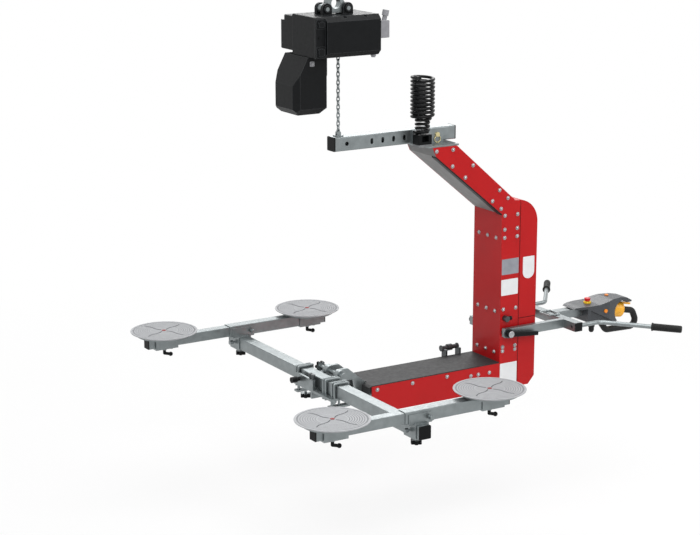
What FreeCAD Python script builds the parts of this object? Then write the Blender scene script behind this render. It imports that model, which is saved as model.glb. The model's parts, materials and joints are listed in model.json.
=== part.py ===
import FreeCAD, Part
import math
import os

# Glass panel lifter: a vacuum frame on a C-shaped column that hangs from an electric chain hoist.
# Millimetres. The origin is the centre of the suspension eye, +Z is up, +X points to the operator,
# and +Y runs along the main beam of the vacuum frame.

# General clearances
SLIP = 0.3  # gap at each side of parts that slide on one another
RUN = 0.05  # radial gap of a pin in its bore
OVERRUN = 3.0  # how far a cut runs past a face

# Suspension eye, its lugs and pins
EYE_BORE_RADIUS = 22.0
EYE_RIM = 17.0
EYE_THICKNESS = 34.0
EYE_FOOT_RADIUS = 19.0
LUG_PIN_SPACING = 101.0
LUG_PIN_DROP = 20.0
LUG_PIN_RADIUS = 9.0
LUG_PIN_HEAD_RADIUS = 14.0
LUG_PIN_HEAD = 5.0
LUG_RADIUS = 23.5
LUG_THICKNESS = 14.0

# Hoist body and covers
HOIST_DROP = 44.0  # eye centre to the top of the housing
HOIST_LENGTH = 304.0
HOIST_LEFT = 142.0  # eye centre to the left end
HOIST_HEIGHT = 168.0
HOIST_DEPTH = 179.0
HOIST_BACK = 96.0  # eye centre to the rear face of the housing
HOIST_WALL = 8.0
HOIST_EDGE = 6.0
FRONT_COVER_DEPTH = 25.0
FRONT_COVER_BEVEL = 20.0
FRONT_COVER_WALL = 6.0
FRONT_CORNER_WIDTH = 46.0
FRONT_CORNER_DEPTH = 14.0
FRONT_NOTCH_WIDTH = 16.0
FRONT_NOTCH_DEPTH = 9.0
FRONT_NOTCH_SHARES = (0.46, 0.78)
REAR_COVER_DEPTH = 115.0
REAR_COVER_INSET = 12.0
REAR_COVER_WALL = 5.0
REAR_STEP_DEPTH = 27.0
REAR_STEP_HEIGHT = 23.0
REAR_FLANGE = 6.0
COVER_SCREW_RADIUS = 5.0
COVER_SCREW_HEAD = 5.0
COVER_SCREW_MARGIN = 17.0
MOTOR_RADIUS = 55.0
MOTOR_RIB_RADIUS = 58.0
MOTOR_RIB = 5.0
MOTOR_RIB_COUNT = 7
MOTOR_END_GAP = 6.0
WHEEL_RADIUS = 32.0
WHEEL_WIDTH = 22.0
WHEEL_GROOVE = 4.0
WHEEL_GROOVE_WIDTH = 8.0
WHEEL_POCKET_COUNT = 6
WHEEL_POCKET_RADIUS = 5.0
WHEEL_SHAFT_RADIUS = 9.0
WEB_THICKNESS = 7.0
WEB_GAP = 9.0  # wheel face to web
WEB_REACH = 46.0  # half the length of a bearing web
CHAIN_PASSAGE_RADIUS = 14.0
SLACK_MOUTH = 34.0

# Chain bucket under the hoist
BUCKET_WIDTH = 155.0
BUCKET_DEPTH = 189.0
BUCKET_HEIGHT = 240.0
BUCKET_WALL = 4.0
BUCKET_RIGHT_GAP = 67.0  # chain to the bucket's right side
BUCKET_FRONT = 29.0  # chain plane to the bucket's front
BUCKET_SLOPE_HEIGHT = 116.0
BUCKET_SLOPE_WIDTH = 61.0
BUCKET_CORNER = 24.0
BUCKET_FOOT_BEVEL = 26.0
BUCKET_SHOULDER = 5.0
BUCKET_SHOULDER_HEIGHT = 78.0

# Power plug on the hoist's right end
PLUG_DEPTH = 40.0
PLUG_REACH = 60.0
PLUG_HEIGHT = 72.0
PLUG_TOP_DROP = 32.0  # top of the housing to the top of the plug
PLUG_FRONT = 38.0  # eye plane to the plug's rear side, towards the front
PLUG_EDGE = 4.0
PLUG_GLAND_RADIUS = 10.0
PLUG_GLAND_HEIGHT = 22.0
PLUG_NUT_RADIUS = 14.0
PLUG_NUT_HEIGHT = 24.0
PLUG_GLAND_LEAN = 12.0  # degrees from upright
PLUG_SEAT = 6.0  # flange against the housing
PLUG_SEAT_MARGIN = 5.0

# Load chain
CHAIN_OFFSET = 20.0  # eye centre to the chain
CHAIN_PITCH = 17.2
CHAIN_WIRE = 5.0
CHAIN_WIDTH = 17.0
CHAIN_CROWN_GAP = 0.4
CHAIN_TOP_DROP = 98.0  # eye centre to the top of the chain at rest

# Boom, its slots and the chain anchor on it
BOOM_DROP = 586.0  # eye centre to the boom's axis
BOOM_SIZE = 60.0
BOOM_WALL = 4.0
BOOM_EDGE = 5.0
BOOM_TAIL = 96.0  # last slot to the boom's right end
BOOM_NOSE = 31.0  # chain to the boom's left end
BOOM_CAP = 5.0
SLOT_PITCH = 54.5
SLOT_COUNT = 7
SLOT_WIDTH = 14.0
SLOT_HEIGHT = 25.0
FIRST_SLOT = 148.0  # chain to the first slot
TIP_HOLE = 25.0  # chain to the round hole
TIP_HOLE_RADIUS = 9.0
ANCHOR_PIN_RADIUS = 3.2
ANCHOR_CHEEK = 6.0
ANCHOR_RISE = 14.0  # boom top to the anchor pin
ANCHOR_EYE_RADIUS = 9.0
ANCHOR_FOOT = 5.0
ANCHOR_FOOT_LENGTH = 34.0
ANCHOR_FOOT_WIDTH = 30.0

# Head bracket that takes the boom
HEAD_PLATE = 8.0
HEAD_PLATE_FRONT = 18.0  # arm tip to the plate's left end
HEAD_PLATE_BACK = 12.0
CHANNEL_PLATE = 6.0
CHANNEL_LENGTH = 190.0
CHANNEL_RIGHT = 63.0  # boom pin to the channel's right end
CHANNEL_TOP = 3.0  # boom top to the top of the cheeks
CHANNEL_NOTCH_LENGTH = 30.0
CHANNEL_NOTCH_HEIGHT = 22.0
BOOM_PIN_RADIUS = 6.0
BOOM_PIN_END = 14.0
BOOM_PIN_HEAD_RADIUS = 10.0
BOOM_PIN_HEAD = 6.0
BOOM_RING_RADIUS = 15.0
BOOM_RING_WIRE = 1.6

# Side plates of the C: column, slanted arm and lower arm
FRAME_WIDTH = 210.0
PLATE = 5.0
COLUMN_FRONT = 798.0
COLUMN_SIDE = 100.0  # width of the side plates along X
REAR_COVER = 95.0
ELBOW_SET = 72.0  # column front to the elbow
ELBOW_DROP = 905.0
KNEE_FALL = 55.0  # elbow to the inner corner of column and slanted arm
TIP_X = 447.0
TIP_RISE = 41.0  # arm tip to the head plate
TIP_BEVEL = 18.0
HEAD_BACK_X = 553.0
ARM_END_X = 125.0
ARM_TOP_DROP = 1642.0
ARM_HEIGHT = 123.0
REAR_RADIUS = 108.0
REAR_SHEET = 4.0
REAR_FOOT_LENGTH = 33.0
REAR_FOOT_HEIGHT = 37.0
COVER_SHEET = 4.0
COVER_FLAP_HEIGHT = 40.0
COVER_FLAP_REACH = 17.0
COVER_FLAP_BEND = 14.0

# Bolts of the frame
BOLT_RADIUS = 4.0
BOLT_WASHER_RADIUS = 9.0
BOLT_WASHER = 1.6
BOLT_HEAD_RADIUS = 6.5
BOLT_HEAD = 5.5
BOLT_LENGTH = 9.0
BOLT_EDGE = 16.0  # plate edge to the bolts
COLUMN_BOLT_SHARES = (0.012, 0.104, 0.158, 0.638, 0.894, 0.921)
COLUMN_FRONT_BOLT_FALL = 112.53  # inner corner to the first row on the front plate
COLUMN_FRONT_BOLT_RISES = (233.926, 44.33)  # lower arm to the other rows
COLUMN_FRONT_BOLT_SPACING = 65.0
SLANT_UPPER_SHARES = (0.30, 0.755, 0.90)
SLANT_LOWER_SHARES = (0.207, 0.40, 0.817, 0.952)
HEAD_BOLT_SHARES = (0.0, 0.80)
ARM_BOLT_SHARES = (0.04, 0.31, 0.58)
ARM_LOW_BOLT_SHARES = (0.77, 0.83, 0.92)
ARM_BOLT_DROP = 8.0
ARM_LOW_BOLT_DROP = 35.0

# Pump and tank in the column
PUMP_LENGTH = 110.0
PUMP_WIDTH = 130.0
PUMP_HEIGHT = 105.0
PUMP_DROP = 1400.0
PUMP_HEAD_RADIUS = 38.0
PUMP_HEAD_HEIGHT = 60.0
TANK_RADIUS = 70.0
TANK_HEADROOM = 156.0  # elbow to the top of the tank
TANK_DOME = 22.0
TANK_GAP = 6.0  # column front plate to the tank
TANK_WALL = 4.0
TANK_PORT_RADIUS = 8.0

# Spiral cable, its base and its connector
COIL_X = 391.0
COIL_Y = -77.0
CABLE_DIAMETER = 13.0
COIL_RADIUS = 46.5
COIL_NECK_RADIUS = 27.0
COIL_PITCH = 16.7
COIL_TURNS = 14.25
COIL_NECK_TURNS = 3.25
COIL_FLARE_TURNS = 1.0
COIL_START = 90.0  # degrees, the rear of the first turn
COIL_SAMPLES_PER_TURN = 60
BASE_LENGTH = 70.0
BASE_WIDTH = 50.0
BASE_HEIGHT = 53.0
BASE_EDGE = 5.0
BASE_WINDOW_WIDTH = 34.0
BASE_WINDOW_HEIGHT = 26.0
BASE_WINDOW_DEPTH = 30.0
GLAND_RADIUS = 8.0
GLAND_LENGTH = 34.0
CONNECTOR_RADIUS = 9.0
CONNECTOR_LENGTH = 34.0
CONNECTOR_NUT_RADIUS = 10.5
CONNECTOR_NUT = 12.0

# Vacuum pads on their carriers
PAD_FACE_DROP = 1505.0  # eye centre to the pad faces
PAD_DIAMETER = 300.0
PAD_LEFT_X = -452.0
PAD_RIGHT_X = 292.0
PAD_RUBBER = 16.0
PAD_BODY_RADIUS = 122.0
PAD_LIP = 4.0
PAD_LIP_WIDTH = 12.0
PAD_DISH = 3.0
PAD_RIB_WIDTH = 3.0
PAD_RIB_HEIGHT = 2.0
PAD_RIB_COUNT = 8
PAD_RIB_PITCH = 9.8
PAD_DISC = 5.0
PAD_SLEEVE_LENGTH = 110.0
PAD_SLEEVE_WALL = 4.0
PAD_BOSS_RADIUS = 10.0
PAD_BOSS_HEIGHT = 10.0
PAD_LEVER_RADIUS = 7.0
PAD_LEVER_STEM = 16.0
PAD_LEVER_LENGTH = 30.0
PAD_LEVER_FALL = 8.0
PAD_NUT_RADIUS = 8.0
PAD_NUT_HEIGHT = 9.0
PAD_NUT_OFFSET = 34.0

# Cross beams and their inner tubes
CROSS_REACH = 733.0  # frame plane to each cross beam
CROSS_SIZE = 52.0
CROSS_WALL = 3.0
CROSS_EDGE = 4.0
CROSS_LEFT_X = -132.0
CROSS_OVERHANG = 84.0  # right pad centre to the tube's right end
INNER_WALL = 3.0
INNER_OVERHANG = 85.0  # left pad centre to the inner tube's left end
INNER_OVERLAP = 205.0  # length of inner tube inside the outer one
TUBE_CAP = 4.0

# Main beam and the sleeves that carry the cross beams
BEAM_X = -63.0
BEAM_SIZE = 55.0
BEAM_WALL = 4.0
BEAM_EDGE = 4.0
BEAM_OVERHANG = 59.0  # middle of each cross beam to the beam's end
BEAM_CAP = 5.0
SLEEVE_WALL = 4.0
SLEEVE_LENGTH = 84.0
CHEEK_PLATE = 4.0
CHEEK_LENGTH = 110.0
CHEEK_HEIGHT = 40.0
STAR_RADIUS = 24.0
STAR_LOBE_RADIUS = 7.5
STAR_LOBE_COUNT = 6
STAR_HEIGHT = 17.0
STAR_HUB_RADIUS = 17.0
STAR_STUD_RADIUS = 5.0
STAR_STUD = 14.0
SIDE_KNOB_RADIUS = 10.0
SIDE_KNOB_LENGTH = 16.0
SIDE_KNOB_STUD_RADIUS = 4.0
SIDE_KNOB_STUD = 10.0
CHEEK_BOLT_OFFSET_SHARE = 0.36

# Tilting head that carries the main beam
TILT_X = 0.0
TILT_RISE = 0.0  # top of the main beam to the tilt axis
TILT_PIN_RADIUS = 10.0
TILT_EYE_RADIUS = 26.0
TILT_HEAD_RADIUS = 17.0
TILT_HEAD = 20.0
TILT_KNOB_STEM = 50.0
TILT_COLLAR_RADIUS = 15.0
TILT_COLLAR = 14.0
ARM_EAR_INNER = 30.0
ARM_EAR = 15.0
ARM_EAR_NECK = 28.0  # tilt axis to the underside of the ear
ARM_EAR_STRAIGHT = 70.0
ARM_EAR_TOP_STRAIGHT = 40.0
ARM_EAR_FOOT = 96.0
END_PLATE = 12.0
HEAD_EAR = 14.0
CRADLE_PLATE = 10.0
CRADLE_LEFT = 27.0  # main beam to the cradle's left edge
CRADLE_RIGHT_X = 30.0
CRADLE_LENGTH = 330.0
CRADLE_SLOT_MARGIN = 2.0
CRADLE_WALL = 12.0
CRADLE_WALL_LENGTH = 140.0
CRADLE_WALL_HEIGHT = 44.0
CRADLE_RIB = 10.0
CRADLE_RIB_HEIGHT = 30.0
CLAMP_REACH = 140.0
CLAMP_ROD_RADIUS = 6.0
CLAMP_GAP = 1.0  # main beam to the clamp's legs
CLAMP_LEG_LENGTH = 38.0  # below the cradle
CLAMP_BAR = 9.0
CLAMP_BAR_WIDTH = 28.0
CLAMP_BAR_MARGIN = 14.0
PLUNGER_REACH = 100.0
PLUNGER_RADIUS = 6.0
PLUNGER_NOSE_RADIUS = 9.0
PLUNGER_NOSE = 14.0
PLUNGER_KNOB_RADIUS = 13.0
PLUNGER_KNOB = 26.0

# Handle frame behind the column
HANDLE_DROP = 1498.0
HANDLE_PIVOT_SET = 22.0  # column front to the handle's pivot
HANDLE_SHAFT_RADIUS = 10.0
HANDLE_GAP = 8.0  # side plate to the handle's arms
HANDLE_ARM_WIDTH = 24.0
HANDLE_ARM_HEIGHT = 40.0
HANDLE_ARM_BACK = 16.0  # pivot to the arm's front end
HANDLE_WALL = 3.0
HANDLE_REACH = 330.0  # pivot to the crossbar
CROSSBAR_SIZE = 40.0
CROSSBAR_REACH = 219.0
CROSSBAR_CAP = 5.0
CROSSBAR_HOLE_RADIUS = 6.0
CROSSBAR_HOLE_INSET = 22.0
CENTRE_TUBE_WIDTH = 44.0
CENTRE_TUBE_HEIGHT = 38.0
HANDLE_WASHER_RADIUS = 23.0
HANDLE_SPACER_RADIUS = 15.0
HANDLE_WASHER = 4.0
HANDLE_NUT_RADIUS = 13.0
HANDLE_NUT = 7.0
LEVER_HUB_RADIUS = 16.0
LEVER_HUB = 22.0
LEVER_LENGTH = 150.0
LEVER_ROOT = 24.0
LEVER_TIP = 17.0
LEVER_THICKNESS = 12.0
LEVER_DIP = 6.0  # degrees below level
BAR_RADIUS = 10.0
BAR_REACH = 203.0
BAR_STRAIGHT = 113.0
BAR_SPLAY = 51.0  # degrees
BAR_LENGTH = 370.0
BAR_BEND_RADIUS = 50.0
GRIP_RADIUS = 16.5
GRIP_LENGTH = 136.0
GRIP_END = 6.0
GRIP_COLLAR_RADIUS = 19.0
GRIP_COLLAR = 6.0

# Control unit on the handle
CONTROL_SET = 113.0  # crossbar to the front of the unit
CONTROL_LENGTH = 350.0
CONTROL_WIDTH = 130.0
CONTROL_TOP = 46.0  # handle axis to the top of the unit
CONTROL_BOTTOM = 66.0
CONTROL_LIP = 26.0
CONTROL_EDGE = 9.0
CONTROL_NOSE_SHARES = ((0.0, 0.20), (0.03, 0.15), (0.10, 0.13), (0.39, 0.13))
CONTROL_CROWN_SHARES = ((0.62, 0.0), (0.78, 0.0), (0.90, 0.07), (1.0, 0.24))
CONTROL_HOOD_SHARES = ((0.985, 0.29), (0.74, 0.27))
CONTROL_BASE_SHARES = ((0.74, 0.96), (0.64, 1.0), (0.235, 0.86), (0.1914, 0.78))
CONTROL_PLAN_SHARES = ((0.0, 0.66), (0.08, 0.84), (0.22, 1.0), (0.55, 1.0), (0.79, 0.7), (1.0, 0.55))
CONTROL_BACK_SHARE = 0.1914  # where the body starts behind the front lip
CONTROL_MOUTH_SHARES = (0.8057, 0.607)  # middle of the round mouth that holds the collar
CONTROL_MOUTH_RADIUS = 50.0
CONTROL_RECESS_SHARES = ((0.237, 0.30), (0.237, 0.83), (0.6486, 0.96))
CONTROL_RECESS = 12.0
DGRIP_RADIUS = 15.0
DGRIP_SHARES = ((0.5451, -0.047), (1.0914, -0.636), (1.1914, -1.818), (0.6429, -1.74), (0.5057, -0.80))
DGRIP_BEND_SHARES = (0.30, 0.34, 0.30)
DGRIP_ROUND = 90.0
COLLAR_RADIUS = 40.0
COLLAR_TAPER = 3.0
COLLAR_LENGTH = 80.0
COLLAR_GAP = 1.5  # collar to its pocket
COLLAR_START = 22.0
COLLAR_EAR = 50.0
COLLAR_EAR_WIDTH = 24.0
COLLAR_EAR_THICKNESS = 9.0
ESTOP_SHARE = 0.3171  # along the unit
ESTOP_DROP_SHARE = 0.13
ESTOP_COLLAR_RADIUS = 16.0
ESTOP_COLLAR = 8.0
ESTOP_STEM_RADIUS = 8.0
ESTOP_HEAD_RADIUS = 14.0
ESTOP_HEAD = 11.0
ESTOP_TRAVEL = 4.0
BUTTON_RADIUS = 9.0
BUTTON_HEIGHT = 5.0
BUTTON_DEPTH = 10.0
BUTTON_TRAVEL = 3.0
ATTACH_SHARE = 0.6829
ATTACH_OFFSET = 18.0
RELEASE_SHARE = 0.4829
RELEASE_DROP_SHARE = 0.42

# Valves
SLIDE_VALVE_SET = 104.0  # column front to the middle of the valve
SLIDE_VALVE_DROP = 1612.0
SLIDE_VALVE_GAP = 36.0  # side plate to the valve's axis
SLIDE_VALVE_LENGTH = 92.0
SLIDE_VALVE_RADIUS = 10.0
SLIDE_VALVE_FLANGE_RADIUS = 14.0
SLIDE_VALVE_FLANGE = 5.0
SLIDE_SLEEVE_RADIUS = 15.0
SLIDE_SLEEVE_LENGTH = 24.0
VALVE_FOOT_LENGTH = 8.0
VALVE_FOOT_HEIGHT = 40.0
COLUMN_VALVE_SET = 24.0  # column front to the valve's axis
COLUMN_VALVE_DROP = 1436.0
COLUMN_VALVE_RADIUS = 13.0
COLUMN_VALVE_HEIGHT = 24.0
VALVE_STEM_RADIUS = 4.0
VALVE_STEM = 8.0
VALVE_KNOB_RADIUS = 9.0
VALVE_KNOB_LENGTH = 15.0

# Places and levels that follow from the sizes
X = FreeCAD.Vector(1, 0, 0)
Y = FreeCAD.Vector(0, 1, 0)
Z = FreeCAD.Vector(0, 0, 1)
FULL_TURN = 2 * math.pi

HOIST_RIGHT = HOIST_LENGTH - HOIST_LEFT
HOIST_TOP = -HOIST_DROP
HOIST_BOTTOM = HOIST_TOP - HOIST_HEIGHT
HOIST_FRONT = HOIST_BACK - HOIST_DEPTH
HOIST_MIDDLE = HOIST_TOP - HOIST_HEIGHT / 2
LUG_INNER = EYE_THICKNESS / 2 + SLIP
LUG_OUTER = LUG_INNER + LUG_THICKNESS
LUG_XS = (-LUG_PIN_SPACING / 2, LUG_PIN_SPACING / 2)
CHAIN_X = CHAIN_OFFSET
WHEEL_X = CHAIN_X - CHAIN_WIDTH / 2 - SLIP - (WHEEL_RADIUS - WHEEL_GROOVE)
WEB_INNER = WHEEL_WIDTH / 2 + WEB_GAP
WEB_OUTER = WEB_INNER + WEB_THICKNESS

BOOM_Z = -BOOM_DROP
BOOM_TOP = BOOM_Z + BOOM_SIZE / 2
BOOM_BOTTOM = BOOM_Z - BOOM_SIZE / 2
BOOM_LEFT = CHAIN_X - BOOM_NOSE
BOOM_PIN_X = CHAIN_X + FIRST_SLOT + SLOT_PITCH * (SLOT_COUNT - 1)
BOOM_RIGHT = BOOM_PIN_X + BOOM_TAIL
LINK_BEND = (CHAIN_WIDTH - CHAIN_WIRE) / 2
LINK_STRAIGHT = CHAIN_PITCH + CHAIN_CROWN_GAP + CHAIN_WIRE - 2 * LINK_BEND
ANCHOR_PIN_Z = BOOM_TOP + ANCHOR_RISE
FIRST_LINK_Z = ANCHOR_PIN_Z - ANCHOR_PIN_RADIUS - SLIP - CHAIN_WIRE / 2 + LINK_STRAIGHT / 2 + LINK_BEND
FLAT_LINK_PITCH = 2 * CHAIN_PITCH
WHEEL_Z = FIRST_LINK_Z + FLAT_LINK_PITCH * round((HOIST_MIDDLE - FIRST_LINK_Z) / FLAT_LINK_PITCH)
CHANNEL_BASE_TOP = BOOM_BOTTOM - SLIP
HEAD_PLATE_TOP = CHANNEL_BASE_TOP - CHANNEL_PLATE
HEAD_Z = HEAD_PLATE_TOP - HEAD_PLATE
CHANNEL_INNER = BOOM_SIZE / 2 + SLIP
CHANNEL_OUTER = CHANNEL_INNER + CHANNEL_PLATE
CHANNEL_END = BOOM_PIN_X + CHANNEL_RIGHT
CHANNEL_START = CHANNEL_END - CHANNEL_LENGTH

HALF_WIDTH = FRAME_WIDTH / 2
INSIDE = HALF_WIDTH - PLATE
SEAM_X = COLUMN_FRONT + COLUMN_SIDE
COLUMN_REAR = SEAM_X + REAR_COVER
ELBOW_X = COLUMN_FRONT + ELBOW_SET
COLUMN_VALVE_X = COLUMN_FRONT + COLUMN_VALVE_SET
SLIDE_VALVE_X = COLUMN_FRONT - SLIDE_VALVE_SET
ELBOW_Z = -ELBOW_DROP
KNEE_Z = ELBOW_Z - KNEE_FALL
TIP_Z = HEAD_Z - TIP_RISE
ARM_TOP = -ARM_TOP_DROP
ARM_BOTTOM = ARM_TOP - ARM_HEIGHT
REAR_ARC_Z = ELBOW_Z - REAR_RADIUS
REAR_ARC_X = COLUMN_REAR - REAR_RADIUS
COLUMN_FRONT_BACK = COLUMN_FRONT + PLATE

PAD_FACE = -PAD_FACE_DROP
PAD_DISC_BOTTOM = PAD_FACE - PAD_RUBBER - PAD_DISC
CROSS_TOP = PAD_DISC_BOTTOM - PAD_SLEEVE_WALL - SLIP
CROSS_BOTTOM = CROSS_TOP - CROSS_SIZE
CROSS_Z = CROSS_TOP - CROSS_SIZE / 2
CROSS_RIGHT_X = PAD_RIGHT_X + CROSS_OVERHANG
INNER_SIZE = CROSS_SIZE - 2 * CROSS_WALL - 2 * SLIP
INNER_LEFT_X = PAD_LEFT_X - INNER_OVERHANG
INNER_RIGHT_X = CROSS_LEFT_X + INNER_OVERLAP
BEAM_TOP = CROSS_BOTTOM - SLEEVE_WALL - SLIP
BEAM_Z = BEAM_TOP - BEAM_SIZE / 2
BEAM_BOTTOM = BEAM_TOP - BEAM_SIZE
BEAM_LENGTH = 2 * (CROSS_REACH + BEAM_OVERHANG)
SLEEVE_SIZE = BEAM_SIZE + 2 * (SLIP + SLEEVE_WALL)
SLEEVE_BOTTOM = BEAM_BOTTOM - SLIP - SLEEVE_WALL
TILT_Z = BEAM_TOP + TILT_RISE
CRADLE_TOP = BEAM_BOTTOM - SLIP
CRADLE_BOTTOM = CRADLE_TOP - CRADLE_PLATE
CRADLE_LEFT_X = BEAM_X - BEAM_SIZE / 2 - CRADLE_LEFT
ARM_EAR_OUTER = ARM_EAR_INNER + ARM_EAR
HEAD_EAR_INNER = ARM_EAR_OUTER + SLIP
HEAD_EAR_OUTER = HEAD_EAR_INNER + HEAD_EAR

HANDLE_Z = -HANDLE_DROP
HANDLE_PIVOT_X = COLUMN_FRONT + HANDLE_PIVOT_SET
CROSSBAR_X = HANDLE_PIVOT_X + HANDLE_REACH
CONTROL_FRONT_X = CROSSBAR_X + CONTROL_SET
HANDLE_ARM_INNER = HALF_WIDTH + HANDLE_GAP
HANDLE_ARM_OUTER = HANDLE_ARM_INNER + HANDLE_ARM_WIDTH
LEVER_INNER = HANDLE_ARM_OUTER + HANDLE_WASHER
CROSSBAR_BACK = CROSSBAR_X + CROSSBAR_SIZE / 2
CONTROL_TOP_Z = HANDLE_Z + CONTROL_TOP
CONTROL_HEIGHT = CONTROL_TOP + CONTROL_BOTTOM
CONTROL_BACK_X = CONTROL_FRONT_X + CONTROL_BACK_SHARE * CONTROL_LENGTH
ESTOP_X = CONTROL_FRONT_X + ESTOP_SHARE * CONTROL_LENGTH
ESTOP_Z = CONTROL_TOP_Z - ESTOP_DROP_SHARE * CONTROL_HEIGHT

BASE_TOP = HEAD_PLATE_TOP + BASE_HEIGHT
COIL_BOTTOM_Z = BASE_TOP + CABLE_DIAMETER / 2 + SLIP


# Small helpers for solids
def point(x, y, z):
    return FreeCAD.Vector(x, y, z)


def around(middle, size):
    return (middle - size / 2, middle + size / 2)


def mirrored(low, high):
    return ((-high, -low), (low, high))


def block(xs, ys, zs):
    corner = point(xs[0], ys[0], zs[0])
    return Part.makeBox(xs[1] - xs[0], ys[1] - ys[0], zs[1] - zs[0], corner)


def rod(start, end, radius):
    run = end - start
    return Part.makeCylinder(radius, run.Length, start, run)


def rod_x(xs, y, z, radius):
    return rod(point(xs[0], y, z), point(xs[1], y, z), radius)


def rod_y(x, ys, z, radius):
    return rod(point(x, ys[0], z), point(x, ys[1], z), radius)


def rod_z(x, y, zs, radius):
    return rod(point(x, y, zs[0]), point(x, y, zs[1]), radius)


def fuse(*solids):
    return solids[0].multiFuse(list(solids[1:])).removeSplitter()


def cut(body, *tools):
    for tool in tools:
        body = body.cut(tool)
    return body


def slab_xz(outline, ys):
    corners = [point(x, ys[0], z) for x, z in outline]
    face = Part.Face(Part.makePolygon(corners + corners[:1]))
    return face.extrude(Y * (ys[1] - ys[0]))


def slab_xy(outline, zs):
    corners = [point(x, y, zs[0]) for x, y in outline]
    face = Part.Face(Part.makePolygon(corners + corners[:1]))
    return face.extrude(Z * (zs[1] - zs[0]))


def slab_yz(outline, xs):
    corners = [point(xs[0], y, z) for y, z in outline]
    face = Part.Face(Part.makePolygon(corners + corners[:1]))
    return face.extrude(X * (xs[1] - xs[0]))


def edges_along(shape, axis):
    chosen = []
    for edge in shape.Edges:
        if edge.Curve.TypeId == "Part::GeomLine":
            if abs(edge.tangentAt(edge.FirstParameter).dot(axis)) > math.cos(math.radians(1)):
                chosen.append(edge)
    return chosen


def soft_block(xs, ys, zs, radius, axis):
    shape = block(xs, ys, zs)
    return shape.makeFillet(radius, edges_along(shape, axis))


def ring(outer, inner, start, end):
    run = end - start
    margin = run.normalize() * OVERRUN
    return cut(rod(start, end, outer), rod(start - margin, end + margin, inner))


def square_tube(axis, middle, size, wall, edge, span):
    sides = [around(value, size) for value in middle]
    holes = [around(value, size - 2 * wall) for value in middle]
    past = (span[0] - OVERRUN, span[1] + OVERRUN)
    if axis == X:
        outer = soft_block(span, sides[0], sides[1], edge, axis)
        return cut(outer, block(past, holes[0], holes[1]))
    outer = soft_block(sides[0], span, sides[1], edge, axis)
    return cut(outer, block(holes[0], past, holes[1]))


def rounded_path(corners, radii):
    edges = []
    start = corners[0]
    for index in range(1, len(corners) - 1):
        corner = corners[index]
        before = (corners[index - 1] - corner).normalize()
        after = (corners[index + 1] - corner).normalize()
        half_turn = before.getAngle(after) / 2
        setback = radii[index - 1] / math.tan(half_turn)
        enter = corner + before * setback
        leave = corner + after * setback
        bisector = (before + after).normalize()
        centre = corner + bisector * (radii[index - 1] / math.sin(half_turn))
        middle = centre - bisector * radii[index - 1]
        edges.append(Part.LineSegment(start, enter).toShape())
        edges.append(Part.Arc(enter, middle, leave).toShape())
        start = leave
    edges.append(Part.LineSegment(start, corners[-1]).toShape())
    return Part.Wire(edges)


def pipe(path, radius):
    first = path.Edges[0]
    start = first.valueAt(first.FirstParameter)
    heading = first.tangentAt(first.FirstParameter)
    profile = Part.Wire(Part.makeCircle(radius, start, heading))
    shell = Part.BRepOffsetAPI.MakePipeShell(path)
    shell.add(profile)
    shell.build()
    shell.makeSolid()
    return shell.shape()


def star_knob(top, heading):
    foot = top + heading * STAR_HEIGHT
    side = heading.cross(Y if abs(heading.dot(Y)) < abs(heading.dot(Z)) else Z)
    solids = [rod(top, foot, STAR_HUB_RADIUS)]
    for index in range(STAR_LOBE_COUNT):
        turn = FreeCAD.Rotation(heading, 360 * index / STAR_LOBE_COUNT)
        offset = turn.multVec(side) * (STAR_RADIUS - STAR_LOBE_RADIUS)
        solids.append(rod(top + offset, foot + offset, STAR_LOBE_RADIUS))
    return fuse(*solids)


def side_knob(root, heading):
    neck = root + heading * SIDE_KNOB_STUD
    stud = rod(root, neck, SIDE_KNOB_STUD_RADIUS)
    return fuse(stud, rod(neck, neck + heading * SIDE_KNOB_LENGTH, SIDE_KNOB_RADIUS))


# Hoist
def suspension_eye():
    half = EYE_THICKNESS / 2
    disc = rod(Y * -half, Y * half, EYE_BORE_RADIUS + EYE_RIM)
    foot = block(LUG_XS, (-half, half), around(-LUG_PIN_DROP, 2 * EYE_FOOT_RADIUS))
    ears = [rod_y(x, (-half, half), -LUG_PIN_DROP, EYE_FOOT_RADIUS) for x in LUG_XS]
    past = half + OVERRUN
    bore = rod(Y * -past, Y * past, EYE_BORE_RADIUS)
    holes = [
        rod_y(x, (-past, past), -LUG_PIN_DROP, LUG_PIN_RADIUS + RUN) for x in LUG_XS
    ]
    return cut(fuse(disc, foot, *ears), bore, *holes)


def lugs():
    solids = []
    for x in LUG_XS:
        for ys in mirrored(LUG_INNER, LUG_OUTER):
            post = block(around(x, 2 * LUG_RADIUS), ys, (HOIST_TOP - HOIST_WALL / 2, -LUG_PIN_DROP))
            head = rod_y(x, ys, -LUG_PIN_DROP, LUG_RADIUS)
            solids += [post, head]
    return solids


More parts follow.
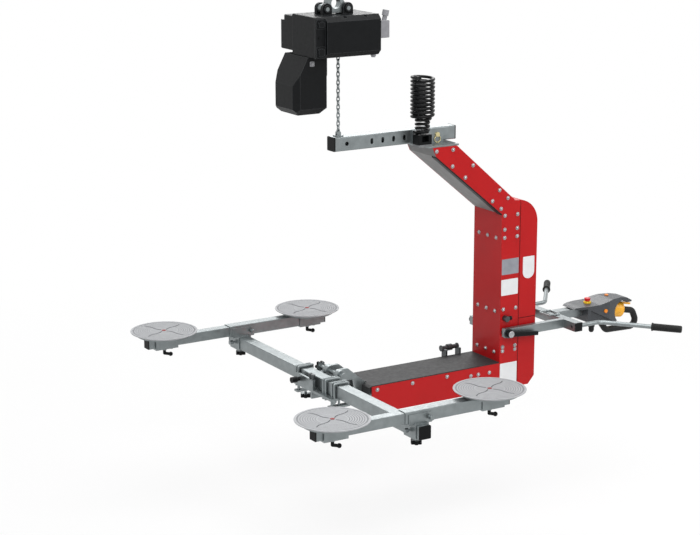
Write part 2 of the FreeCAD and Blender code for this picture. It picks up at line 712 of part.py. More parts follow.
def hoist_housing():
    xs = (-HOIST_LEFT, HOIST_RIGHT)
    ys = (HOIST_FRONT, HOIST_BACK)
    shell = soft_block(xs, ys, (HOIST_BOTTOM, HOIST_TOP), HOIST_EDGE, Y)
    inner_x = (xs[0] + HOIST_WALL, xs[1] - HOIST_WALL)
    inner_z = (HOIST_BOTTOM + HOIST_WALL, HOIST_TOP - HOIST_WALL)
    shell = cut(shell, block(inner_x, (ys[0] - OVERRUN, ys[1] - REAR_FLANGE), inner_z))
    inset = REAR_COVER_INSET + REAR_COVER_WALL
    window = block(
        (xs[0] + inset, xs[1] - inset),
        (ys[1] - REAR_FLANGE - OVERRUN, ys[1] + OVERRUN),
        (HOIST_BOTTOM + inset, HOIST_TOP - inset),
    )
    shell = cut(shell, window)
    web_z = (HOIST_BOTTOM + HOIST_WALL / 2, HOIST_TOP - HOIST_WALL / 2)
    webs = [block(around(WHEEL_X, 2 * WEB_REACH), side, web_z) for side in mirrored(WEB_INNER, WEB_OUTER)]
    body = fuse(shell, *webs, *lugs())
    past = LUG_OUTER + OVERRUN
    holes = [
        rod_y(x, (-past, past), -LUG_PIN_DROP, LUG_PIN_RADIUS + RUN) for x in LUG_XS
    ]
    bearing = rod(
        point(WHEEL_X, -WEB_OUTER - OVERRUN, WHEEL_Z),
        point(WHEEL_X, WEB_OUTER + OVERRUN, WHEEL_Z),
        WHEEL_SHAFT_RADIUS + RUN,
    )
    floor = (HOIST_BOTTOM - OVERRUN, HOIST_BOTTOM + HOIST_WALL + OVERRUN)
    passage = rod_z(CHAIN_X, 0, floor, CHAIN_PASSAGE_RADIUS)
    slack_x = WHEEL_X - (CHAIN_X - WHEEL_X)
    mouth = block(around(slack_x, SLACK_MOUTH), around(0, SLACK_MOUTH), floor)
    return cut(body, bearing, passage, mouth, *holes)


def hoist_front_cover():
    ys = (HOIST_FRONT - FRONT_COVER_DEPTH, HOIST_FRONT)
    profile = [
        (ys[1], HOIST_BOTTOM),
        (ys[0] + FRONT_COVER_BEVEL, HOIST_BOTTOM),
        (ys[0], HOIST_BOTTOM + FRONT_COVER_BEVEL),
        (ys[0], HOIST_TOP - FRONT_COVER_BEVEL),
        (ys[0] + FRONT_COVER_BEVEL, HOIST_TOP),
        (ys[1], HOIST_TOP),
    ]
    cover = slab_yz(profile, (-HOIST_LEFT, HOIST_RIGHT))
    corner_x = (-HOIST_LEFT - OVERRUN, -HOIST_LEFT + FRONT_CORNER_WIDTH)
    corner = block(
        corner_x, (ys[0] - OVERRUN, ys[0] + FRONT_CORNER_DEPTH), (HOIST_BOTTOM - OVERRUN, HOIST_TOP + OVERRUN)
    )
    hollow = block(
        (-HOIST_LEFT + FRONT_CORNER_WIDTH + FRONT_COVER_WALL, HOIST_RIGHT - FRONT_COVER_WALL - HOIST_EDGE),
        (ys[0] + FRONT_COVER_WALL, ys[1] + OVERRUN),
        (HOIST_BOTTOM + FRONT_COVER_BEVEL, HOIST_TOP - FRONT_COVER_BEVEL),
    )
    notches = []
    for share in FRONT_NOTCH_SHARES:
        for z in (HOIST_BOTTOM, HOIST_TOP):
            xs = around(-HOIST_LEFT + share * HOIST_LENGTH, FRONT_NOTCH_WIDTH)
            notch_y = (ys[0] - OVERRUN, ys[0] + FRONT_COVER_BEVEL)
            notches.append(block(xs, notch_y, around(z, 2 * FRONT_NOTCH_DEPTH)))
    return cut(cover, corner, hollow, *notches)


def hoist_rear_cover():
    xs = (-HOIST_LEFT + REAR_COVER_INSET, HOIST_RIGHT - REAR_COVER_INSET)
    zs = (HOIST_BOTTOM + REAR_COVER_INSET, HOIST_TOP - REAR_COVER_INSET)
    end = HOIST_BACK + REAR_COVER_DEPTH
    step_y = end - REAR_STEP_DEPTH
    step_z = zs[1] - REAR_STEP_HEIGHT
    shell = soft_block(xs, (HOIST_BACK, end), zs, HOIST_EDGE, Y)
    step = block(
        (xs[0] - OVERRUN, xs[1] + OVERRUN),
        (step_y, end + OVERRUN),
        (step_z, zs[1] + OVERRUN),
    )
    hollows = []
    for back, top in ((step_y, zs[1]), (end, step_z)):
        hollow_x = (xs[0] + REAR_COVER_WALL, xs[1] - REAR_COVER_WALL)
        hollow_y = (HOIST_BACK - OVERRUN, back - REAR_COVER_WALL)
        hollows.append(block(hollow_x, hollow_y, (zs[0] + REAR_COVER_WALL, top - REAR_COVER_WALL)))
    return cut(shell, step, *hollows)


def hoist_motor():
    end = HOIST_BACK + REAR_COVER_DEPTH - REAR_STEP_DEPTH - REAR_COVER_WALL - MOTOR_END_GAP
    body = rod(point(WHEEL_X, WEB_OUTER, WHEEL_Z), point(WHEEL_X, end, WHEEL_Z), MOTOR_RADIUS)
    ribs = []
    pitch = (end - HOIST_BACK) / MOTOR_RIB_COUNT
    for index in range(MOTOR_RIB_COUNT):
        y = HOIST_BACK + pitch * index
        ribs.append(rod_y(WHEEL_X, (y, y + MOTOR_RIB), WHEEL_Z, MOTOR_RIB_RADIUS))
    return fuse(body, *ribs)


def chain_wheel():
    middle = point(WHEEL_X, 0, WHEEL_Z)
    half = WHEEL_WIDTH / 2
    wheel = rod(middle - Y * half, middle + Y * half, WHEEL_RADIUS)
    shaft = rod(middle - Y * WEB_OUTER, middle + Y * (WEB_OUTER - SLIP), WHEEL_SHAFT_RADIUS)
    half_groove = WHEEL_GROOVE_WIDTH / 2
    root = WHEEL_RADIUS - WHEEL_GROOVE
    groove = ring(WHEEL_RADIUS + OVERRUN, root, middle - Y * half_groove, middle + Y * half_groove)
    pockets = []
    for index in range(WHEEL_POCKET_COUNT):
        angle = FULL_TURN * (index + 1 / 2) / WHEEL_POCKET_COUNT
        rim = middle + point(math.cos(angle), 0, math.sin(angle)) * WHEEL_RADIUS
        pockets.append(rod(rim - Y * WHEEL_WIDTH, rim + Y * WHEEL_WIDTH, WHEEL_POCKET_RADIUS))
    return cut(fuse(wheel, shaft), groove, *pockets)


def bucket_form(inset):
    right = CHAIN_X - BUCKET_RIGHT_GAP - inset
    left = CHAIN_X - BUCKET_RIGHT_GAP - BUCKET_WIDTH + inset
    front = -BUCKET_FRONT + inset
    rear = BUCKET_DEPTH - BUCKET_FRONT - inset
    top = HOIST_BOTTOM
    slope_z = top - BUCKET_SLOPE_HEIGHT
    bottom = top - BUCKET_HEIGHT + inset
    shoulder_z = top - BUCKET_SHOULDER_HEIGHT
    side = [
        (left + BUCKET_SLOPE_WIDTH, top),
        (left, slope_z),
        (left, bottom + BUCKET_FOOT_BEVEL),
        (left + BUCKET_FOOT_BEVEL, bottom),
        (right - BUCKET_FOOT_BEVEL, bottom),
        (right - BUCKET_SHOULDER, bottom + BUCKET_FOOT_BEVEL),
        (right - BUCKET_SHOULDER, shoulder_z - BUCKET_SHOULDER),
        (right, shoulder_z),
        (right, top),
    ]
    plan = [
        (left, front + BUCKET_CORNER),
        (left + BUCKET_CORNER, front),
        (right - BUCKET_SHOULDER, front),
        (right, front + BUCKET_SHOULDER),
        (right, rear - BUCKET_SHOULDER),
        (right - BUCKET_SHOULDER, rear),
        (left + BUCKET_CORNER, rear),
        (left, rear - BUCKET_CORNER),
    ]
    across = [
        (front, top),
        (front, bottom + BUCKET_FOOT_BEVEL),
        (front + BUCKET_FOOT_BEVEL, bottom),
        (rear - BUCKET_FOOT_BEVEL, bottom),
        (rear, bottom + BUCKET_FOOT_BEVEL),
        (rear, top),
    ]
    form = slab_xz(side, (front, rear))
    form = form.common(slab_xy(plan, (bottom, top)))
    return form.common(slab_yz(across, (left, right)))


def chain_bucket():
    mouth = bucket_form(BUCKET_WALL)
    lid = mouth.copy()
    lid.translate(Z * OVERRUN)
    return cut(bucket_form(0), mouth, lid)


def power_plug():
    front = -PLUG_FRONT - PLUG_DEPTH
    ys = (front, -PLUG_FRONT)
    top = HOIST_TOP - PLUG_TOP_DROP
    zs = (top - PLUG_HEIGHT, top)
    seat = block(
        (HOIST_RIGHT, HOIST_RIGHT + PLUG_SEAT),
        (max(ys[0] - PLUG_SEAT_MARGIN, HOIST_FRONT), ys[1] + PLUG_SEAT_MARGIN),
        (zs[0] - PLUG_SEAT_MARGIN, zs[1] + PLUG_SEAT_MARGIN),
    )
    hood = soft_block((HOIST_RIGHT, HOIST_RIGHT + PLUG_REACH), ys, zs, PLUG_EDGE, Y)
    lean = math.radians(PLUG_GLAND_LEAN)
    heading = point(math.sin(lean), 0, math.cos(lean))
    root = point(HOIST_RIGHT + PLUG_REACH - PLUG_NUT_RADIUS, (ys[0] + ys[1]) / 2, top - PLUG_EDGE)
    neck = root + heading * PLUG_GLAND_HEIGHT
    gland = rod(root, neck, PLUG_GLAND_RADIUS)
    nut = rod(neck, neck + heading * PLUG_NUT_HEIGHT, PLUG_NUT_RADIUS)
    return fuse(seat, hood, gland, nut)


def hoist_fasteners():
    solids = []
    for x in LUG_XS:
        head_root = point(x, -LUG_OUTER, -LUG_PIN_DROP)
        shank = rod(head_root, point(x, LUG_OUTER, -LUG_PIN_DROP), LUG_PIN_RADIUS)
        head = rod(head_root - Y * LUG_PIN_HEAD, head_root, LUG_PIN_HEAD_RADIUS)
        tail = rod_y(x, (LUG_OUTER, LUG_OUTER + LUG_PIN_HEAD), -LUG_PIN_DROP, LUG_PIN_HEAD_RADIUS)
        solids.append(fuse(head, shank, tail))
    ledge = HOIST_FRONT - FRONT_COVER_DEPTH + FRONT_CORNER_DEPTH
    for z in (HOIST_BOTTOM + COVER_SCREW_MARGIN, HOIST_MIDDLE, HOIST_TOP - COVER_SCREW_MARGIN):
        root = point(-HOIST_LEFT + COVER_SCREW_MARGIN, ledge, z)
        solids.append(rod(root - Y * COVER_SCREW_HEAD, root, COVER_SCREW_RADIUS))
    return Part.makeCompound(solids)


# Chain and boom
def chain_link():
    bend = LINK_BEND
    radius = CHAIN_WIRE / 2
    half = LINK_STRAIGHT / 2
    solids = []
    for side in (-1, 1):
        solids.append(rod(point(side * bend, 0, -half), point(side * bend, 0, half), radius))
        start = point(bend, 0, side * half)
        section = Part.Face(Part.Wire(Part.makeCircle(radius, start, Z)))
        solids.append(section.revolve(point(0, 0, side * half), Y * -side, 180))
    return fuse(*solids)


def load_chain():
    link = chain_link()
    length = -CHAIN_TOP_DROP - FIRST_LINK_Z
    solids = []
    for index in range(int(length / CHAIN_PITCH)):
        copy = link.copy()
        if index % 2:
            copy.rotate(point(0, 0, 0), Z, 90)
        copy.translate(point(CHAIN_X, 0, FIRST_LINK_Z + CHAIN_PITCH * index))
        solids.append(copy)
    return Part.makeCompound(solids)


def chain_anchor():
    inner = CHAIN_WIRE / 2 + SLIP
    foot = block(
        around(CHAIN_X, ANCHOR_FOOT_LENGTH), around(0, ANCHOR_FOOT_WIDTH), (BOOM_TOP, BOOM_TOP + ANCHOR_FOOT)
    )
    solids = [foot]
    for ys in mirrored(inner, inner + ANCHOR_CHEEK):
        solids.append(block(around(CHAIN_X, 2 * ANCHOR_EYE_RADIUS), ys, (BOOM_TOP, ANCHOR_PIN_Z)))
        solids.append(rod_y(CHAIN_X, ys, ANCHOR_PIN_Z, ANCHOR_EYE_RADIUS))
    reach = inner + ANCHOR_CHEEK
    pin = rod_y(CHAIN_X, (-reach, reach), ANCHOR_PIN_Z, ANCHOR_PIN_RADIUS)
    slot = block(
        around(CHAIN_X, 2 * ANCHOR_EYE_RADIUS + OVERRUN), (-inner, inner), (BOOM_TOP + SLIP, ANCHOR_PIN_Z)
    )
    return fuse(cut(fuse(*solids), slot), pin)


def slot_cutter(x):
    ys = (-BOOM_SIZE, BOOM_SIZE)
    half = (SLOT_HEIGHT - SLOT_WIDTH) / 2
    middle = block(around(x, SLOT_WIDTH), ys, around(BOOM_Z, 2 * half))
    ends = [
        rod_y(x, ys, BOOM_Z + rise, SLOT_WIDTH / 2) for rise in (-half, half)
    ]
    return fuse(middle, *ends)


def boom_tube():
    tube = square_tube(X, (0, BOOM_Z), BOOM_SIZE, BOOM_WALL, BOOM_EDGE, (BOOM_LEFT, BOOM_RIGHT))
    slots = [slot_cutter(CHAIN_X + FIRST_SLOT + SLOT_PITCH * index) for index in range(SLOT_COUNT)]
    tip_x = CHAIN_X + TIP_HOLE
    tip_hole = rod_y(tip_x, (-BOOM_SIZE, BOOM_SIZE), BOOM_Z, TIP_HOLE_RADIUS)
    sides = (around(0, BOOM_SIZE), around(BOOM_Z, BOOM_SIZE))
    caps = [
        soft_block((BOOM_LEFT - BOOM_CAP, BOOM_LEFT), *sides, BOOM_EDGE, X),
        soft_block((BOOM_RIGHT, BOOM_RIGHT + BOOM_CAP), *sides, BOOM_EDGE, X),
    ]
    return Part.makeCompound([cut(tube, tip_hole, *slots)] + caps)


def head_bracket():
    tip = TIP_X - TIP_BEVEL
    plate = block(
        (tip - HEAD_PLATE_FRONT, HEAD_BACK_X + HEAD_PLATE_BACK), (-INSIDE, INSIDE), (HEAD_Z, HEAD_PLATE_TOP)
    )
    base = block(
        (CHANNEL_START, CHANNEL_END - CHANNEL_NOTCH_LENGTH),
        (-CHANNEL_OUTER, CHANNEL_OUTER),
        (HEAD_PLATE_TOP, CHANNEL_BASE_TOP),
    )
    notch_z = CHANNEL_BASE_TOP + CHANNEL_NOTCH_HEIGHT
    top = BOOM_TOP - CHANNEL_TOP
    profile = [
        (CHANNEL_START, HEAD_PLATE_TOP),
        (CHANNEL_END - CHANNEL_NOTCH_LENGTH, HEAD_PLATE_TOP),
        (CHANNEL_END - CHANNEL_NOTCH_LENGTH, notch_z),
        (CHANNEL_END, notch_z),
        (CHANNEL_END, top),
        (CHANNEL_START, top),
    ]
    cheeks = [slab_xz(profile, ys) for ys in mirrored(CHANNEL_INNER, CHANNEL_OUTER)]
    past = CHANNEL_OUTER + OVERRUN
    pin_hole = rod_y(BOOM_PIN_X, (-past, past), BOOM_Z, BOOM_PIN_RADIUS + RUN)
    return cut(fuse(plate, base, *cheeks), pin_hole)


def boom_pin():
    start = point(BOOM_PIN_X, -CHANNEL_OUTER - SLIP, BOOM_Z)
    end = point(BOOM_PIN_X, CHANNEL_OUTER + BOOM_PIN_END, BOOM_Z)
    shank = rod(start, end, BOOM_PIN_RADIUS)
    head_end = start - Y * BOOM_PIN_HEAD
    head = rod(head_end, start, BOOM_PIN_HEAD_RADIUS)
    drop = BOOM_RING_RADIUS + BOOM_PIN_RADIUS - BOOM_RING_WIRE
    loop = Part.makeTorus(BOOM_RING_RADIUS, BOOM_RING_WIRE, head_end + Y * (BOOM_PIN_HEAD / 2) - Z * drop, Y)
    return fuse(shank, head, loop)


# Column, slanted arm and lower arm
def slant_share(start, end, share):
    return (start[0] + (end[0] - start[0]) * share, start[1] + (end[1] - start[1]) * share)


def side_outline():
    return [
        (ARM_END_X, ARM_TOP),
        (COLUMN_FRONT, ARM_TOP),
        (COLUMN_FRONT, KNEE_Z),
        (TIP_X, TIP_Z),
        (TIP_X - TIP_BEVEL, HEAD_Z),
        (HEAD_BACK_X, HEAD_Z),
        (ELBOW_X, ELBOW_Z),
        (SEAM_X, rear_arc_height(SEAM_X, REAR_RADIUS)),
        (SEAM_X, ARM_BOTTOM),
        (ARM_END_X, ARM_BOTTOM),
    ]


def rear_arc_height(x, radius):
    reach = x - REAR_ARC_X
    return REAR_ARC_Z + math.sqrt(radius**2 - reach**2)


def bolt_places():
    lower_row = (TIP_X, TIP_Z)
    knee = (COLUMN_FRONT, KNEE_Z)
    head = (HEAD_BACK_X, HEAD_Z)
    elbow = (ELBOW_X, ELBOW_Z)
    slope = math.atan2(elbow[1] - head[1], elbow[0] - head[0])
    inward = (math.sin(slope) * BOLT_EDGE, -math.cos(slope) * BOLT_EDGE)
    places = []
    for share in SLANT_UPPER_SHARES:
        x, z = slant_share(head, elbow, share)
        places.append((x + inward[0], z + inward[1]))
    for share in SLANT_LOWER_SHARES:
        x, z = slant_share(lower_row, knee, share)
        places.append((x - inward[0], z - inward[1]))
    for share in HEAD_BOLT_SHARES:
        places.append((TIP_X + (HEAD_BACK_X - TIP_X) * share, HEAD_Z - BOLT_EDGE))
    for share in COLUMN_BOLT_SHARES:
        z = KNEE_Z + (ARM_TOP - KNEE_Z) * share
        places.append((COLUMN_FRONT + BOLT_EDGE, z))
        places.append((SEAM_X - BOLT_EDGE, z))
    for share in ARM_BOLT_SHARES:
        x = ARM_END_X + (COLUMN_FRONT - ARM_END_X) * share
        places.append((x, ARM_TOP - ARM_BOLT_DROP - BOLT_WASHER_RADIUS))
    for share in ARM_LOW_BOLT_SHARES:
        places.append((ARM_END_X + (COLUMN_FRONT - ARM_END_X) * share, ARM_TOP - ARM_LOW_BOLT_DROP))
    return places


def front_bolt_places():
    rows = [KNEE_Z - COLUMN_FRONT_BOLT_FALL]
    rows += [ARM_TOP + rise for rise in COLUMN_FRONT_BOLT_RISES]
    return [(step * COLUMN_FRONT_BOLT_SPACING, z) for z in rows for step in (-1, 0, 1)]


def side_plate(side):
    ys = sorted((side * INSIDE, side * HALF_WIDTH))
    plate = slab_xz(side_outline(), ys)
    past = (ys[0] - OVERRUN, ys[1] + OVERRUN)
    holes = [rod_y(x, past, z, BOLT_RADIUS + RUN) for x, z in bolt_places()]
    holes.append(rod_y(HANDLE_PIVOT_X, past, HANDLE_Z, HANDLE_SHAFT_RADIUS + RUN))
    return plate.cut(Part.makeCompound(holes))


def bolt(root, heading):
    under = root - heading * BOLT_LENGTH
    rim = root + heading * BOLT_WASHER
    shank = rod(under, root, BOLT_RADIUS)
    washer = rod(root, rim, BOLT_WASHER_RADIUS)
    return fuse(shank, washer, rod(rim, rim + heading * BOLT_HEAD, BOLT_HEAD_RADIUS))


def frame_bolts():
    solids = []
    for x, z in bolt_places():
        solids.append(bolt(point(x, -HALF_WIDTH, z), -Y))
        solids.append(bolt(point(x, HALF_WIDTH, z), Y))
    for y, z in front_bolt_places():
        solids.append(bolt(point(COLUMN_FRONT, y, z), -X))
    return Part.makeCompound(solids)


def column_front_plate():
    plate = block((COLUMN_FRONT, COLUMN_FRONT_BACK), (-INSIDE, INSIDE), (ARM_TOP, KNEE_Z))
    holes = [
        rod(point(COLUMN_FRONT - OVERRUN, y, z), point(COLUMN_FRONT_BACK + OVERRUN, y, z), BOLT_RADIUS + RUN)
        for y, z in front_bolt_places()
    ]
    return plate.cut(Part.makeCompound(holes))


def arm_underside_plate():
    slope = math.atan2(KNEE_Z - TIP_Z, COLUMN_FRONT - TIP_X)
    shift = (-math.sin(slope) * PLATE, math.cos(slope) * PLATE)
    rise = PLATE / math.cos(slope)
    outline = [
        (COLUMN_FRONT, KNEE_Z),
        (TIP_X, TIP_Z),
        (TIP_X - TIP_BEVEL, HEAD_Z),
        (TIP_X - TIP_BEVEL + PLATE + SLIP, HEAD_Z),
        (TIP_X + shift[0], TIP_Z + shift[1] + PLATE),
        (COLUMN_FRONT, KNEE_Z + rise),
    ]
    return slab_xz(outline, (-INSIDE, INSIDE))


def rear_profile(wall):
    bottom = ARM_BOTTOM + wall
    rear = COLUMN_REAR - wall
    radius = REAR_RADIUS - wall
    start = point(rear, 0, REAR_ARC_Z)
    angle = (math.pi / 2 + math.acos((SEAM_X - REAR_ARC_X) / radius)) / 2 - math.pi / 4
    middle = point(REAR_ARC_X + radius * math.cos(angle), 0, REAR_ARC_Z + radius * math.sin(angle))
    end = point(SEAM_X, 0, rear_arc_height(SEAM_X, radius))
    corners = [
        end,
        point(SEAM_X, 0, bottom),
        point(rear - REAR_FOOT_LENGTH, 0, bottom),
        point(rear, 0, bottom + REAR_FOOT_HEIGHT),
        start,
    ]
    edges = [Part.LineSegment(a, b).toShape() for a, b in zip(corners, corners[1:])]
    edges.append(Part.Arc(start, middle, end).toShape())
    return Part.Face(Part.Wire(edges))


def rear_cover():
    outer = rear_profile(0)
    outer.translate(Y * -HALF_WIDTH)
    shell = outer.extrude(Y * FRAME_WIDTH)
    inner = rear_profile(REAR_SHEET)
    inner.translate(Y * (REAR_SHEET - HALF_WIDTH))
    shell = cut(shell, inner.extrude(Y * (FRAME_WIDTH - 2 * REAR_SHEET)))
    slope = math.atan2(ELBOW_Z - HEAD_Z, ELBOW_X - HEAD_BACK_X)
    drop = REAR_SHEET / math.cos(slope)
    top = rear_arc_height(SEAM_X, REAR_RADIUS)
    strip = slab_xz(
        [
            (HEAD_BACK_X, HEAD_Z),
            (ELBOW_X, ELBOW_Z),
            (SEAM_X, top),
            (SEAM_X, rear_arc_height(SEAM_X, REAR_RADIUS - REAR_SHEET)),
            (ELBOW_X, ELBOW_Z - drop),
            (HEAD_BACK_X, HEAD_Z - drop),
        ],
        (-INSIDE, INSIDE),
    )
    return fuse(shell, strip)


def lower_arm_cover():
    top = ARM_TOP + COVER_SHEET
    outline = [
        (COLUMN_FRONT, ARM_TOP),
        (COLUMN_FRONT, top),
        (ARM_END_X, top),
        (ARM_END_X - COVER_FLAP_BEND, top - COVER_FLAP_BEND / 2),
        (ARM_END_X - COVER_FLAP_REACH, ARM_TOP - COVER_FLAP_HEIGHT),
        (ARM_END_X - COVER_FLAP_REACH + COVER_SHEET, ARM_TOP - COVER_FLAP_HEIGHT),
        (ARM_END_X - COVER_FLAP_BEND + COVER_SHEET, ARM_TOP - COVER_FLAP_BEND / 2),
        (ARM_END_X, ARM_TOP),
    ]
    sheet = slab_xz(outline, (-HALF_WIDTH, HALF_WIDTH))
    slot_x = (TILT_X, ARM_END_X + END_PLATE + SLIP)
    slot_z = (ARM_TOP - COVER_FLAP_HEIGHT - OVERRUN, top + OVERRUN)
    slots = [block(slot_x, ys, slot_z) for ys in mirrored(ARM_EAR_INNER - SLIP, ARM_EAR_OUTER + SLIP)]
    return cut(sheet, *slots)


def lower_arm_floor():
    return block((ARM_END_X, SEAM_X), (-INSIDE, INSIDE), (ARM_BOTTOM, ARM_BOTTOM + PLATE))


def arm_end_block():
    plate_x = (ARM_END_X, ARM_END_X + END_PLATE)
    plate = block(plate_x, (-INSIDE, INSIDE), (ARM_BOTTOM + PLATE, ARM_TOP))
    outline = [
        (TILT_X, TILT_Z + TILT_EYE_RADIUS),
        (TILT_X + ARM_EAR_TOP_STRAIGHT, TILT_Z + TILT_EYE_RADIUS),
        (plate_x[1], ARM_TOP),
        (plate_x[1], ARM_BOTTOM + PLATE),
        (ARM_EAR_FOOT + TILT_X, ARM_BOTTOM + PLATE + END_PLATE),
        (TILT_X + ARM_EAR_STRAIGHT, TILT_Z - ARM_EAR_NECK),
        (TILT_X, TILT_Z - TILT_EYE_RADIUS),
    ]
    solids = [plate]
    bores = []
    for ys in mirrored(ARM_EAR_INNER, ARM_EAR_OUTER):
        solids.append(slab_xz(outline, ys))
        solids.append(rod_y(TILT_X, ys, TILT_Z, TILT_EYE_RADIUS))
        past = (ys[0] - OVERRUN, ys[1] + OVERRUN)
        bores.append(rod_y(TILT_X, past, TILT_Z, TILT_PIN_RADIUS + RUN))
    return cut(fuse(*solids), *bores)


def tilt_pin():
    seat = HEAD_EAR_OUTER + SLIP
    near = point(TILT_X, -seat, TILT_Z)
    far = point(TILT_X, seat, TILT_Z)
    knob = far + Y * TILT_KNOB_STEM
    solids = [
        rod(near, knob, TILT_PIN_RADIUS),
        rod(near - Y * TILT_HEAD, near, TILT_HEAD_RADIUS),
        rod(far, far + Y * TILT_COLLAR, TILT_COLLAR_RADIUS),
        star_knob(knob, Y),
    ]
    return fuse(*solids)


def vacuum_pump():
    bottom = -PUMP_DROP
    xs = (COLUMN_FRONT_BACK, COLUMN_FRONT_BACK + PUMP_LENGTH)
    body = block(xs, around(0, PUMP_WIDTH), (bottom, bottom + PUMP_HEIGHT))
    foot = point(COLUMN_FRONT_BACK + PUMP_LENGTH / 2, 0, bottom - PUMP_HEAD_HEIGHT)
    return fuse(body, rod(foot, foot + Z * PUMP_HEAD_HEIGHT, PUMP_HEAD_RADIUS))


def vacuum_tank():
    x = COLUMN_FRONT_BACK + TANK_GAP + TANK_RADIUS
    centre = point(x, 0, -PUMP_DROP + PUMP_HEIGHT + TANK_DOME)
    top = point(x, 0, ELBOW_Z - TANK_HEADROOM - TANK_DOME)
    port = rod(top, top + Z * (TANK_DOME + OVERRUN), TANK_PORT_RADIUS)
    return cut(tank_form(centre, top, 0), tank_form(centre, top, TANK_WALL), port)


def tank_form(centre, top, wall):
    radius = TANK_RADIUS - wall
    dome = TANK_DOME - wall
    solids = [rod(centre, top, radius)]
    solids.append(Part.makeCone(radius, TANK_RADIUS - TANK_DOME, dome, top, Z))
    solids.append(Part.makeCone(radius, TANK_RADIUS - TANK_DOME, dome, centre, -Z))
    return fuse(*solids)


# Spiral cable
def coil_radius(turn):
    climb = min(max((turn - COIL_NECK_TURNS) / COIL_FLARE_TURNS, 0), 1)
    ease = climb * climb * (3 - 2 * climb)
    return COIL_NECK_RADIUS + (COIL_RADIUS - COIL_NECK_RADIUS) * ease


def coil_point(turn):
    angle = math.radians(COIL_START) + FULL_TURN * turn
    radius = coil_radius(turn)
    place = point(COIL_X + radius * math.cos(angle), COIL_Y + radius * math.sin(angle), COIL_BOTTOM_Z)
    return place + Z * (COIL_PITCH * turn)


def coil_heading(turn):
    step = 1 / (COIL_SAMPLES_PER_TURN**2)
    return (coil_point(turn + step) - coil_point(turn - step)).normalize()


def biarc(start, start_heading, end, end_heading):
    chord = end - start
    both = start_heading + end_heading
    spread = 2 * (1 - start_heading.dot(end_heading))
    reach = chord.dot(both)
    distance = (math.sqrt(reach**2 + spread * chord.dot(chord)) - reach) / spread
    joint = (start + end + (start_heading - end_heading) * distance) * 0.5
    arcs = []
    for begin, heading, finish in ((start, start_heading, joint), (joint, None, end)):
        if heading is None:
            across = (joint - start).normalize()
            heading = across * (2 * start_heading.dot(across)) - start_heading
        arcs.append(arc_from(begin, heading, finish))
    return arcs


def arc_from(begin, heading, finish):
    chord = finish - begin
    normal = chord - heading * chord.dot(heading)
    radius = chord.dot(chord) / (2 * normal.Length)
    centre = begin + normal.normalize() * radius
    middle = begin + chord * 0.5 - centre
    return Part.Arc(begin, centre + middle.normalize() * radius, finish).toShape()


def cable_ends():
    start = coil_point(0)
    end = coil_point(COIL_TURNS)
    return start - coil_heading(0) * CABLE_DIAMETER, end + coil_heading(COIL_TURNS) * CABLE_DIAMETER


def spiral_cable():
    quarters = int(round(COIL_TURNS * 4))
    first, last = cable_ends()
    edges = [Part.LineSegment(first, coil_point(0)).toShape()]
    for index in range(quarters):
        a = index / 4
        b = (index + 1) / 4
        edges += biarc(coil_point(a), coil_heading(a), coil_point(b), coil_heading(b))
    edges.append(Part.LineSegment(coil_point(COIL_TURNS), last).toShape())
    return pipe(Part.Wire(edges), CABLE_DIAMETER / 2)


def coil_self_gap():
    count = int(COIL_TURNS * COIL_SAMPLES_PER_TURN)
    places = [coil_point(index / COIL_SAMPLES_PER_TURN) for index in range(count + 1)]
    half_turn = COIL_SAMPLES_PER_TURN // 2
    least = COIL_RADIUS
    for index, place in enumerate(places):
        for other in places[index + half_turn : index + 3 * half_turn]:
            least = min(least, place.distanceToPoint(other))
    return least - CABLE_DIAMETER


def cable_base():
    body = soft_block(
        around(COIL_X, BASE_LENGTH), around(COIL_Y, BASE_WIDTH), (HEAD_PLATE_TOP, BASE_TOP), BASE_EDGE, Z
    )
    front = COIL_Y - BASE_WIDTH / 2
    window = block(
        around(COIL_X, BASE_WINDOW_WIDTH),
        (front - OVERRUN, front + BASE_WINDOW_DEPTH),
        (BASE_TOP - BASE_WINDOW_HEIGHT - BASE_EDGE, BASE_TOP - BASE_EDGE),
    )
    first, _ = cable_ends()
    gland = rod(first - coil_heading(0) * GLAND_LENGTH, first, GLAND_RADIUS)
    return fuse(cut(body, window), gland)


def cable_connector():
    _, last = cable_ends()
    heading = coil_heading(COIL_TURNS)
    nut_end = last + heading * CONNECTOR_NUT
    nut = rod(last, nut_end, CONNECTOR_NUT_RADIUS)
    return fuse(nut, rod(nut_end, last + heading * CONNECTOR_LENGTH, CONNECTOR_RADIUS))


# Valves
def slide_valve():
    y = HALF_WIDTH + SLIDE_VALVE_GAP
    z = -SLIDE_VALVE_DROP
    half = SLIDE_VALVE_LENGTH / 2
    body = rod(point(SLIDE_VALVE_X - half, y, z), point(SLIDE_VALVE_X + half, y, z), SLIDE_VALVE_RADIUS)
    solids = [body]
    for side in (-1, 1):
        end = point(SLIDE_VALVE_X + side * half, y, z)
        solids.append(rod(end, end - X * (side * SLIDE_VALVE_FLANGE), SLIDE_VALVE_FLANGE_RADIUS))
        foot_x = end.x - side * (SLIDE_VALVE_FLANGE + VALVE_FOOT_LENGTH / 2)
        foot_bottom = z - VALVE_FOOT_HEIGHT - SLIDE_VALVE_RADIUS
        solids.append(block(around(foot_x, VALVE_FOOT_LENGTH), (HALF_WIDTH, y), (foot_bottom, z)))
    return fuse(*solids)


def valve_sleeve():
    y = HALF_WIDTH + SLIDE_VALVE_GAP
    half = SLIDE_SLEEVE_LENGTH / 2
    start = point(SLIDE_VALVE_X - half, y, -SLIDE_VALVE_DROP)
    end = point(SLIDE_VALVE_X + half, y, -SLIDE_VALVE_DROP)
    return ring(SLIDE_SLEEVE_RADIUS, SLIDE_VALVE_RADIUS + RUN, start, end)


